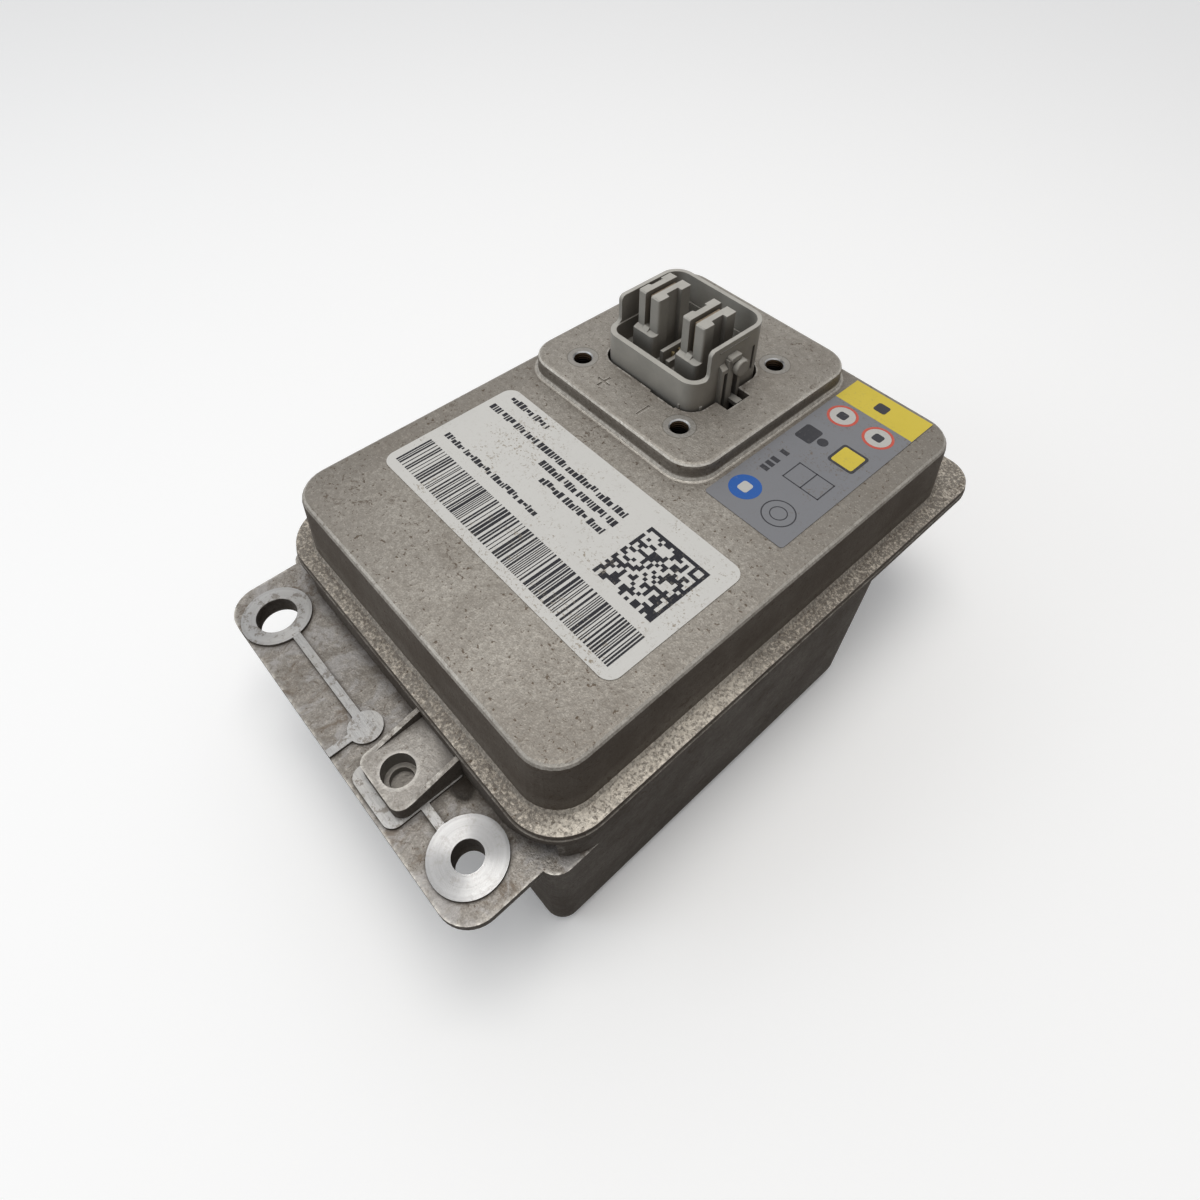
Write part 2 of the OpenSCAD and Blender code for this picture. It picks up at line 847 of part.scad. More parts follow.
module rim_cut() {
    // Lowers the front rim, with a hollow foot and a round shoulder on each side wall
    y0 = conn_y - shroud_l / 2;
    y1 = y0 + low_rim_l;
    translate([conn_x - shroud_w, 0, 0]) rotate([90, 0, 90]) linear_extrude(2 * shroud_w) {
        difference() {
            union() {
                translate([y0 - 1, low_top]) square([low_rim_l + 1, rim_top - low_top + 1]);
                translate([y1 - eps, rim_top - step_r]) square([step_r + eps, step_r + 1]);
            }
            difference() {
                translate([y1 - step_r, low_top - 1]) square([step_r + 1, step_r + 1]);
                translate([y1 - step_r, low_top + step_r]) circle(r = step_r);
            }
            translate([y1 + step_r, rim_top - step_r]) circle(r = step_r);
        }
    }
}

module shroud() {
    difference() {
        at_conn(conn_flange_z) linear_extrude(rim_top - conn_flange_z) shroud_plan(0);
        at_conn(socket_floor) linear_extrude(rim_top) shroud_plan(shroud_wall);
        at_conn(low_top) linear_extrude(rim_top) shroud_plan(rim_wall);
        at_conn(conn_flange_z - 1) linear_extrude(socket_floor - socket_floor_t - conn_flange_z + 1) {
            shroud_plan(shroud_wall);
        }
        rim_cut();
        box(
            wall_x - groove_deep, wall_x + 1, groove_y, groove_y + groove_l, groove_z0, groove_z1);
    }
}

module side_features() {
    // Peg, lug, ribs and tab on the shroud's +X wall, and the low bump on its back wall
    x = wall_x - eps;
    translate([x, peg_y, peg_z]) rotate([0, 90, 0]) cylinder(r = peg_r, h = peg_out);
    translate([x, 0, 0]) rotate([90, 0, 90]) linear_extrude(lug_out) {
        translate([lug_y0 + lug_t / 2, lug_top - lug_t / 2]) circle(r = lug_t / 2);
        translate([lug_y0 + lug_t / 2, lug_top - lug_t]) {
            square([lug_y1 - lug_y0 - lug_t / 2, lug_t]);
        }
    }
    box(x, x + rib_out, rib_y, rib_y + rib_t, conn_flange_top, rib_top - rib_out);
    translate([0, rib_y + rib_cap_l, 0]) rotate([90, 0, 0]) linear_extrude(rib_cap_l) {
        polygon([
            [x, rib_top - rib_out - rib_cap_t], [x + rib_out, rib_top - rib_out - rib_cap_t],
            [x + rib_out, rib_top - rib_out + 0.3], [x, rib_top]]);
    }
    box(
        x, x + rib_out, wide_rib_y, wide_rib_y + wide_rib_t, conn_flange_top,
        lug_top - lug_t / 2);
    box(
        x, x + rib_out, back_side_rib_y, back_side_rib_y + back_side_rib_t, conn_flange_top,
        peg_z);
    box(x, x + tab_out, tab_y, tab_y + tab_l, pad_top - tab_t - 0.5, pad_top - 0.5);
    box(
        x, x + line_t, conn_y - shroud_l / 2 + low_rim_l + 2 * step_r, groove_y - 2,
        rim_top - line_drop - 0.3, rim_top - line_drop);
    for (spot = [
        [conn_x + shroud_w / 2 - front_r * 0.9, conn_y - shroud_l / 2],
        [wall_x, conn_y - shroud_l / 2 + front_r * 0.7]]) {
        translate([spot[0] - 0.2, spot[1] + 0.2, pad_top - 2]) cylinder(r = nub_r, h = nub_h + 2);
    }
    yb = conn_y + shroud_l / 2 - eps;
    box(
        back_rib_x - back_rib_w / 2, back_rib_x + back_rib_w / 2, yb, yb + back_rib_out,
        rim_top - back_rib_h - 1, rim_top - 1);
}

module conn_flange() {
    at_conn(conn_flange_z) linear_extrude(conn_flange_t) difference() {
        rounded(conn_flange_w, conn_flange_l, conn_flange_r);
        shroud_plan(shroud_wall);
    }
}

module pin_spots() {
    for (i = [0 : pin_n - 1]) {
        translate([conn_x, tower_y + (i - (pin_n - 1) / 2) * pin_pitch, 0]) children();
    }
}

module pin_block() {
    // The signal pins' base, with a high rail on one side and a low one on the other
    x0 = conn_x - pin_wall_w / 2;
    x1 = conn_x + pin_wall_w / 2;
    y1 = tower_front + tower_l;
    z = socket_floor - eps;
    box(x0, x1, tower_front, y1, z, socket_floor + pin_wall_h);
    box(x0, x0 + pin_rail_t, tower_front - 1, y1, z, pin_rail_top);
    box(x1 - pin_rail_t, x1, tower_front - 1, y1, z, pin_rail_low);
}

module connector_housing() color([0.74, 0.71, 0.66]) {
    difference() {
        union() {
            shroud();
            conn_flange();
            side_features();
            for (x = [plus_x, minus_x]) translate([x, tower_y, 0]) tower();
            pin_block();
        }
        conn_screw_spots(conn_flange_z - 1) cylinder(r = conn_screw_r, h = conn_flange_t + 2);
        for (x = [plus_x, minus_x]) {
            box(
                x - blade_t / 2, x + blade_t / 2, blade_y0, blade_y1,
                socket_floor - socket_floor_t - 1, socket_floor + 1);
        }
        pin_spots() {
            box(-pin_s / 2, pin_s / 2, -pin_s / 2, pin_s / 2, conn_flange_z, pin_top);
        }
    }
}

module connector_seal() color([0.1, 0.1, 0.1]) {
    at_conn(conn_flange_top) linear_extrude(seal_t) difference() {
        rounded(conn_flange_w, conn_flange_l, conn_flange_r);
        shroud_plan(0);
        translate([shroud_w / 2 - 1, notch_y - conn_y - notch_l / 2]) {
            square([rib_out + 1.5, notch_l]);
        }
        for (sx = [-1, 1], sy = [-1, 1]) {
            translate([sx * conn_screw_dx, sy * conn_screw_dy]) circle(r = conn_screw_r);
        }
    }
}

module connector_screws() color([0.55, 0.55, 0.56]) {
    h = conn_flange_t + seal_t + conn_screw_deep - 0.5;
    conn_screw_spots(conn_flange_z) {
        translate([0, 0, -eps]) cylinder(r = conn_screw_r, h = h + eps);
        translate([0, 0, -conn_head_h]) cylinder(r = conn_head_r, h = conn_head_h);
    }
}

module blade(x, foot_side, foot_x1, foot_y0, foot_y1) {
    // An upright blade with a flat foot that lies on the carrier
    half = blade_t / 2;
    top = pad_top + tower_h - blade_below_top;
    box(x - half, x + half, blade_y0, blade_y1, carrier_top, top);
    xa = min(x - foot_side * half, x + foot_side * blade_foot);
    xb = max(x - foot_side * half, x + foot_side * blade_foot);
    box(xa, xb, blade_y0, foot_y1, carrier_top, tab_top);
    xc = min(x - foot_side * half, foot_x1);
    xd = max(x - foot_side * half, foot_x1);
    box(xc, xd, foot_y0, foot_y1, carrier_top, tab_top);
}

module positive_blade() color([0.72, 0.45, 0.30]) {
    blade(plus_x, -1, fuse_x - fuse_w / 2, fuse_y1 - foot_l, fuse_y1);
}

module negative_blade() color([0.72, 0.45, 0.30]) {
    blade(minus_x, 1, shunt_x + shunt_w / 2, fuse_y1 - foot_l, fuse_y1);
}

module signal_pins() color([0.75, 0.66, 0.40]) {
    z0 = ribbon_z + film_t;
    pin_spots() box(-pin_s / 2, pin_s / 2, -pin_s / 2, pin_s / 2, z0, pin_top);
}

module cell(n) {
    // A flat can lying on its side, with two terminals and a vent at its +Y end
    z = heat_pad_top + (n - 1) * (cell_t + sheet_t);
    zm = z + cell_t / 2;
    translate([0, 0, z]) linear_extrude(cell_t) {
        translate([0, stack_y0 + cell_l / 2]) rounded(cell_w, cell_l, can_r);
    }
    for (s = [-1, 1]) {
        box(
            s * term_x - term_w / 2, s * term_x + term_w / 2, stack_y1 - eps, link_y,
            zm - term_h / 2, zm + term_h / 2);
    }
    translate([0, stack_y1 - eps, zm]) rotate([-90, 0, 0]) cylinder(r = vent_r, h = 0.6);
}

module cell_1() color([0.30, 0.42, 0.58]) cell(1);
module cell_2() color([0.30, 0.42, 0.58]) cell(2);
module cell_3() color([0.30, 0.42, 0.58]) cell(3);
module cell_4() color([0.30, 0.42, 0.58]) cell(4);

module cell_sheets() color([0.85, 0.84, 0.78]) {
    for (i = [1 : 3]) {
        z = heat_pad_top + i * cell_t + (i - 1) * sheet_t;
        box(-cell_w / 2 + 1, cell_w / 2 - 1, stack_y0 + 1, stack_y1 - 1, z, z + sheet_t);
    }
}

module heat_pad() color([0.55, 0.62, 0.72]) {
    box(-cell_w / 2 + 2, cell_w / 2 - 2, stack_y0 + 2, stack_y1 - 2, tub_floor, heat_pad_top);
}

module side_foams() color([0.25, 0.25, 0.27]) {
    // Strips between the cells and the tub's side walls and front wall
    x1 = body_w / 2 - foam_low;
    z1 = shelf_z - foam_drop;
    for (s = [-1, 1]) {
        xa = min(s * cell_w / 2, s * x1);
        xb = max(s * cell_w / 2, s * x1);
        box(xa, xb, stack_y0 + cavity_r, stack_y1 - foam_inset, tub_floor, z1);
    }
    xf = x1 - cavity_r - foam_room;
    box(-xf, xf, y_front + foam_low, stack_y0, tub_floor, z1);
}

module end_foam() color([0.25, 0.25, 0.27]) {
    x = cell_w / 2 - 2 * foam_inset;
    box(-x, x, link_y1 + film_t + 2, tub_back - foam_low, tub_floor, shelf_z - foam_drop - 1);
}

module top_foam() color([0.25, 0.25, 0.27]) {
    x = post_x - post_r - 1.8;
    box(-x, x, stack_y0 + foam_inset, stack_y1 - foam_inset, stack_top, carrier_z);
}

module cell_links() color([0.78, 0.50, 0.34]) {
    // Three copper straps that join the cells in series
    for (i = [1 : 3]) {
        s = i % 2 == 1 ? 1 : -1;
        z0 = heat_pad_top + (i - 1) * (cell_t + sheet_t) + cell_t / 2 - term_h / 2;
        z1 = z0 + cell_t + sheet_t + term_h;
        box(s * term_x - term_w / 2, s * term_x + term_w / 2, link_y, link_y1, z0, z1);
    }
}

module positive_busbar() color([0.78, 0.50, 0.34]) {
    // A leg on the last cell's terminal, bent over the carrier and run to the fuse
    zc = heat_pad_top + 3 * (cell_t + sheet_t) + cell_t / 2;
    x0 = -term_x - fuse_w / 2;
    x1 = -term_x + fuse_w / 2;
    box(x0, x1, link_y, link_y1, zc - term_h / 2, tab_top);
    f0 = fuse_x - fuse_w / 2;
    f1 = fuse_x + fuse_w / 2;
    box(min(x0, f0), max(x1, f1), link_y, slot_y1 + 1, carrier_top, tab_top);
    box(f0, f1, link_y, fuse_y0 + foot_l, carrier_top, tab_top);
}

module negative_busbar() color([0.78, 0.50, 0.34]) {
    zc = heat_pad_top + cell_t / 2;
    z1 = zc + term_h / 2;
    x0 = bar_x - bar_w / 2;
    x1 = bar_x + bar_w / 2;
    box(-term_x - term_w / 2, x1, link_y, link_y1, zc - term_h / 2, z1);
    box(x0, x1, link_y, link_y1, zc, tab_top);
    x2 = shunt_x + shunt_w / 2;
    box(x0, x2, slot_y1 + fit, blade_y0 - 2 * fit, carrier_top, tab_top);
    box(x2 - shunt_w, x2, blade_y0 - 3 * fit, fuse_y0 + foot_l - 1, carrier_top, tab_top);
    box(x0, x1, link_y, slot_y1 + 1, carrier_top, tab_top);
}

module sense_strip() color([0.80, 0.55, 0.20]) {
    // A thin film that touches each link and runs up to the board
    y0 = link_y1;
    y1 = y0 + film_t;
    zc = heat_pad_top + cell_t / 2;
    box(strip_x - film_w / 2, strip_x + film_w / 2, y0, y1, zc, film_top + film_t);
    zm = heat_pad_top + 1.5 * cell_t + sheet_t + 6;
    box(-term_x - 3, strip_x, y0, y1, zm, zm + 3);
    box(
        strip_x - film_w / 2, strip_x + film_w / 2, board_y1 - film_in, y1, film_top,
        film_top + film_t);
}

module signal_strip() color([0.80, 0.55, 0.20]) {
    x0 = conn_x - ribbon_w / 2;
    x1 = conn_x + ribbon_w / 2;
    y0 = board_y1 - film_in;
    box(x0, x1, y0, tower_y + pin_pitch * pin_n / 2 + 1, ribbon_z, ribbon_z + film_t);
    box(x0, x1, y0, y0 + film_t, film_top, ribbon_z + eps);
}

module board_sockets() color([0.12, 0.12, 0.13]) {
    // Low sockets on the board under the two films
    y0 = board_y1 - film_in;
    box(
        strip_x - film_w / 2 - 1, strip_x + film_w / 2 + 1, y0 - 1, y0 - 1 + socket_l, board_top,
        film_top);
    box(
        conn_x - ribbon_w / 2 - 1, conn_x + ribbon_w / 2 + 1, y0 - 1, y0 - 1 + socket_l, board_top,
        film_top);
}

module board_carrier() color([0.18, 0.19, 0.20]) {
    difference() {
        translate([0, 0, carrier_z]) linear_extrude(carrier_t) difference() {
            plan(carrier_w, carrier_y0, carrier_y1, carrier_r, carrier_r);
            translate([-term_x - 8, slot_y0]) square([2 * term_x + 16, slot_y1 - slot_y0]);
            for (s = [-1, 1]) {
                translate([s * window_x - window_w / 2, board_y0 + window_from]) {
                    square([window_w, window_l]);
                }
            }
        }
        for (s = [-1, 1]) {
            for (y = [post_ys[0], post_ys[1], post_ys[2], rear_post_y]) {
                translate([s * post_x, y, carrier_z - 1]) {
                    cylinder(r = screw_r, h = carrier_t + 2);
                }
            }
        }
    }
}

module circuit_board() color([0.10, 0.35, 0.20]) {
    difference() {
        translate([0, 0, board_z]) linear_extrude(board_t) {
            plan(board_w, board_y0, board_y1, carrier_r - 1, 2);
        }
        for (s = [-1, 1], y = post_ys) {
            translate([s * post_x, y, board_z - 1]) cylinder(r = screw_r, h = board_t + 2);
        }
    }
}

module carrier_screws() color([0.55, 0.55, 0.56]) {
    for (s = [-1, 1]) {
        for (y = [post_ys[0], post_ys[1], post_ys[2], rear_post_y]) {
            top = y == rear_post_y ? carrier_top : board_top;
            h = top - carrier_z + screw_deep - 0.5;
            translate([s * post_x, y, carrier_z - eps]) cylinder(r = screw_r, h = h);
            translate([s * post_x, y, carrier_z - screw_head_h]) {
                cylinder(r = screw_head_r, h = screw_head_h);
            }
        }
    }
}

module power_transistors() color([0.08, 0.08, 0.09]) {
    // Two rows of flat packages under the lid's cooling block
    for (i = [0 : fet_n - 1], j = [-1, 1]) {
        x = (i - (fet_n - 1) / 2) * fet_pitch;
        y = fet_y + j * fet_row / 2;
        box(
            x - fet_w / 2, x + fet_w / 2, y - fet_l / 2, y + fet_l / 2, board_top,
            board_top + fet_h);
    }
}

module gap_filler() color([0.55, 0.62, 0.72]) {
    z = board_top + fet_h;
    box(
        -sink_w / 2 + 1, sink_w / 2 - 1, fet_y - sink_l / 2 + 1, fet_y + sink_l / 2 - 1, z,
        sink_z);
}

module fuse() color([0.85, 0.83, 0.76]) {
    // A strip fuse: two flat feet and a body between them
    x0 = fuse_x - fuse_w / 2;
    x1 = fuse_x + fuse_w / 2;
    box(x0, x1, fuse_y0, fuse_y1, tab_top, joint_top);
    box(
        x0, x1, fuse_y0 + foot_l + 1, fuse_y1 - foot_l - 1, carrier_top + 0.2,
        joint_top + 1.6);
}

module current_shunt() color([0.70, 0.62, 0.50]) {
    box(
        shunt_x - shunt_w / 2, shunt_x + shunt_w / 2, fuse_y0, fuse_y0 + foot_l, tab_top,
        joint_top);
    box(
        shunt_x - shunt_mid / 2, shunt_x + shunt_mid / 2, fuse_y0 + foot_l - eps,
        fuse_y1 - foot_l + eps, tab_top, joint_top);
    box(
        shunt_x - shunt_w / 2, shunt_x + shunt_w / 2, fuse_y1 - foot_l, fuse_y1, tab_top,
        joint_top);
}

module controller_chips() color([0.08, 0.08, 0.09]) {
    for (c = chip_spots) {
        translate([c[0], board_y0 + c[1], board_top]) {
            translate([-c[2] / 2, -c[3] / 2, 0]) cube([c[2], c[3], chip_h]);
        }
    }
}

module capacitors() color([0.20, 0.22, 0.26]) {
    for (i = [0 : 3]) {
        translate([(i - 1.5) * cap_pitch, board_y0 + cap_from, board_top]) {
            cylinder(r = cap_r, h = cap_h);
        }
    }
}

module white_label() color([0.85, 0.84, 0.81]) {
    translate([label_x, label_y, lid_top]) linear_extrude(label_t) {
        rounded(label_w, label_l, label_r);
    }
}

module grey_label() color([0.45, 0.45, 0.47]) {
    translate([tag_x, tag_y, lid_top]) linear_extrude(label_t) rounded(tag_w, tag_l, tag_r);
}

tub();
lid();
lid_sealant();
connector_housing();
connector_seal();
connector_screws();
positive_blade();
negative_blade();
signal_pins();
cell_1();
cell_2();
cell_3();
cell_4();
cell_sheets();
heat_pad();
side_foams();
end_foam();
top_foam();
cell_links();
positive_busbar();
negative_busbar();
sense_strip();
signal_strip();
board_carrier();
circuit_board();
carrier_screws();
power_transistors();
gap_filler();
fuse();
current_shunt();
controller_chips();
capacitors();
board_sockets();
white_label();
grey_label();
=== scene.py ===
"""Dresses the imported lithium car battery: materials, camera, studio, the socket's peg and label prints."""
import json
import math
import random

import bmesh
import bpy
from mathutils import Matrix, Vector


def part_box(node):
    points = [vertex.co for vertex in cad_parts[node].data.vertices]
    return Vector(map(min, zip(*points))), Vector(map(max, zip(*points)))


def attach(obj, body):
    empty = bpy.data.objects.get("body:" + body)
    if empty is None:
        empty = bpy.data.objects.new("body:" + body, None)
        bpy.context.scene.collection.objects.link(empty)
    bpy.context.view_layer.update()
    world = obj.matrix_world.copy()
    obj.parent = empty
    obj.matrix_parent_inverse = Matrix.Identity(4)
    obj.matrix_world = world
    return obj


MM = 0.001
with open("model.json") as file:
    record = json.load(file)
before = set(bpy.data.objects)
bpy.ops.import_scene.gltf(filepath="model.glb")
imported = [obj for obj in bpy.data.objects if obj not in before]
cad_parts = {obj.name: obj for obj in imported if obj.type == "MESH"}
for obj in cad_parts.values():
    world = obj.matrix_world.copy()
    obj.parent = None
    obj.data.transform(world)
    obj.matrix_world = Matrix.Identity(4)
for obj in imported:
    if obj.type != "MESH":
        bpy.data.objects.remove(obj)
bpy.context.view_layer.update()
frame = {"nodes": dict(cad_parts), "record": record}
nodes = frame["nodes"]
random.seed(11)


# Places on the part, in millimetres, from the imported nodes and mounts

def in_mm(place):
    return [round(v / MM, 3) for v in place]


mounts = {m["name"]: m for m in frame["record"]["mounts"]}
LEFT_HOLE = in_mm(mounts["left_ear_bore"]["pos_m"])
RIGHT_HOLE = in_mm(mounts["right_ear_bore"]["pos_m"])
BLOCK_HOLE = in_mm(mounts["block_bore"]["pos_m"])
BLOCK_HOLE_R = mounts["block_bore"]["dims"]["r_mm"] + 0.1
PAD_HOLES = in_mm(mounts["pad_holes"]["pos_m"])
PAD_PITCH = mounts["pad_holes"]["dims"]["spacing_x_mm"]
PAPER_LOW, PAPER_HIGH = map(in_mm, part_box("white_label"))
TAG_LOW = in_mm(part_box("grey_label")[0])
LID_LOW, LID_HIGH = map(in_mm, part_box("lid"))
LID_TOP = PAPER_LOW[2]
PRINT_Z = PAPER_HIGH[2]
PAD_TOP = LID_HIGH[2]
LEDGE_TOP = LID_LOW[2] + 1.6
EAR_TOP = in_mm(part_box("tub")[1])[2] - 10.1
RING_TOP = EAR_TOP + 0.9
BLOCK_TOP = EAR_TOP + 5.3
# Where the painted shadow beside the block sits
SHADOW_CORNER = (BLOCK_HOLE[0] + 11.3, BLOCK_HOLE[1] + 9.3)
SPOT_R = 4.65
RING_R = 9.3
THREAD_PITCH = 0.8
GROOVE_PITCH = 0.21
EDGE_SOFT = 0.15


# Shader graphs

class Graph:
    """A small helper that adds shader nodes and links them by name."""

    def __init__(self, name):
        self.mat = bpy.data.materials.new(name)
        self.mat.use_nodes = True
        self.tree = self.mat.node_tree
        self.tree.nodes.clear()
        self.out = self.tree.nodes.new("ShaderNodeOutputMaterial")
        self.shader = self.tree.nodes.new("ShaderNodeBsdfPrincipled")
        self.tree.links.new(self.shader.outputs[0], self.out.inputs[0])
        self.where = self.tree.nodes.new("ShaderNodeTexCoord").outputs["Object"]

    def put(self, socket, value):
        if isinstance(value, bpy.types.NodeSocket):
            self.tree.links.new(value, socket)
        else:
            socket.default_value = value

    def set(self, **values):
        """Sets or links the shader's inputs, such as base_color."""
        for key, value in values.items():
            name = key.replace("_", " ").title().replace("Ior", "IOR")
            self.put(self.shader.inputs[name], value)

    def noise(self, scale, detail, rough, where=None, distort=0.0):
        n = self.tree.nodes.new("ShaderNodeTexNoise")
        self.put(n.inputs["Vector"], where or self.where)
        n.inputs["Scale"].default_value = scale
        n.inputs["Detail"].default_value = detail
        n.inputs["Roughness"].default_value = rough
        n.inputs["Distortion"].default_value = distort
        return n.outputs["Fac"]

    def voronoi(self, scale):
        n = self.tree.nodes.new("ShaderNodeTexVoronoi")
        self.put(n.inputs["Vector"], self.where)
        n.inputs["Scale"].default_value = scale
        return n.outputs["Distance"]

    def ramp(self, value, low, high, to_low=0.0, to_high=1.0):
        n = self.tree.nodes.new("ShaderNodeMapRange")
        n.interpolation_type = "SMOOTHSTEP"
        self.put(n.inputs["Value"], value)
        for key, v in (("From Min", low), ("From Max", high), ("To Min", to_low), ("To Max", to_high)):
            self.put(n.inputs[key], v)
        return n.outputs["Result"]

    def math(self, op, a, b=0.0, clamp=False):
        n = self.tree.nodes.new("ShaderNodeMath")
        n.operation = op
        n.use_clamp = clamp
        self.put(n.inputs[0], a)
        self.put(n.inputs[1], b)
        return n.outputs[0]

    def both(self, *masks):
        """The product of masks and plain factors."""
        out = masks[0]
        for m in masks[1:]:
            out = self.math("MULTIPLY", out, m)
        return out

    def most(self, a, b):
        return self.math("MAXIMUM", a, b)

    def minus(self, a, b):
        return self.math("SUBTRACT", a, b)

    def plus(self, a, b):
        return self.math("ADD", a, b)

    def far(self, a, b):
        """The length of a flat vector from its two parts."""
        return self.math("SQRT", self.plus(self.both(a, a), self.both(b, b)))

    def mix(self, fac, a, b):
        """A colour between a and b."""
        n = self.tree.nodes.new("ShaderNodeMix")
        n.data_type = "RGBA"
        self.put(n.inputs["Factor"], fac)
        for key, c in ((6, a), (7, b)):
            self.put(n.inputs[key], (*c, 1) if isinstance(c, tuple) else c)
        return n.outputs[2]

    def blend(self, fac, a, b):
        """A plain number between a and b."""
        n = self.tree.nodes.new("ShaderNodeMix")
        self.put(n.inputs["Factor"], fac)
        self.put(n.inputs[2], a)
        self.put(n.inputs[3], b)
        return n.outputs[0]

    def within(self, value, low, high, soft):
        """1 between low and high, falling off over soft on both sides."""
        up = self.ramp(value, low - soft, low + soft)
        down = self.ramp(value, high - soft, high + soft, 1.0, 0.0)
        return self.both(up, down)

    def axis(self, name, where=None):
        n = self.tree.nodes.new("ShaderNodeSeparateXYZ")
        self.put(n.inputs[0], where or self.where)
        return n.outputs[name]

    def along(self, value):
        """A place that moves along one axis with a value."""
        n = self.tree.nodes.new("ShaderNodeCombineXYZ")
        self.put(n.inputs[0], value)
        return n.outputs[0]

    def normal_part(self, name):
        n = self.tree.nodes.new("ShaderNodeNewGeometry")
        return self.axis(name, n.outputs["True Normal"])

    def stretch(self, x, y, z):
        n = self.tree.nodes.new("ShaderNodeMapping")
        self.put(n.inputs["Vector"], self.where)
        n.inputs["Scale"].default_value = (x, y, z)
        return n.outputs[0]

    def occlusion(self, distance, inside=False):
        n = self.tree.nodes.new("ShaderNodeAmbientOcclusion")
        n.inside = inside
        n.samples = 6
        n.inputs["Distance"].default_value = distance * MM
        return n.outputs["AO"]

    def bump(self, height, strength, distance, normal=None):
        n = self.tree.nodes.new("ShaderNodeBump")
        self.put(n.inputs["Height"], height)
        n.inputs["Strength"].default_value = strength
        n.inputs["Distance"].default_value = distance * MM
        if normal is not None:
            self.put(n.inputs["Normal"], normal)
        return n.outputs[0]

    def soft_edges(self, radius):
        n = self.tree.nodes.new("ShaderNodeBevel")
        n.samples = 4
        n.inputs["Radius"].default_value = radius * MM
        return n.outputs[0]


# Colours of the castings' grain and wear, and of their painted highlights
BROWN = (0.092, 0.068, 0.048)
TAN = (0.46, 0.42, 0.36)
SAND = (0.56, 0.53, 0.47)
BARE_GRAIN = (0.66, 0.60, 0.51)
LIT_GRAIN = (0.66, 0.61, 0.53)
RUBBED_AND_HIGHLIT = (0.76, 0.73, 0.67)


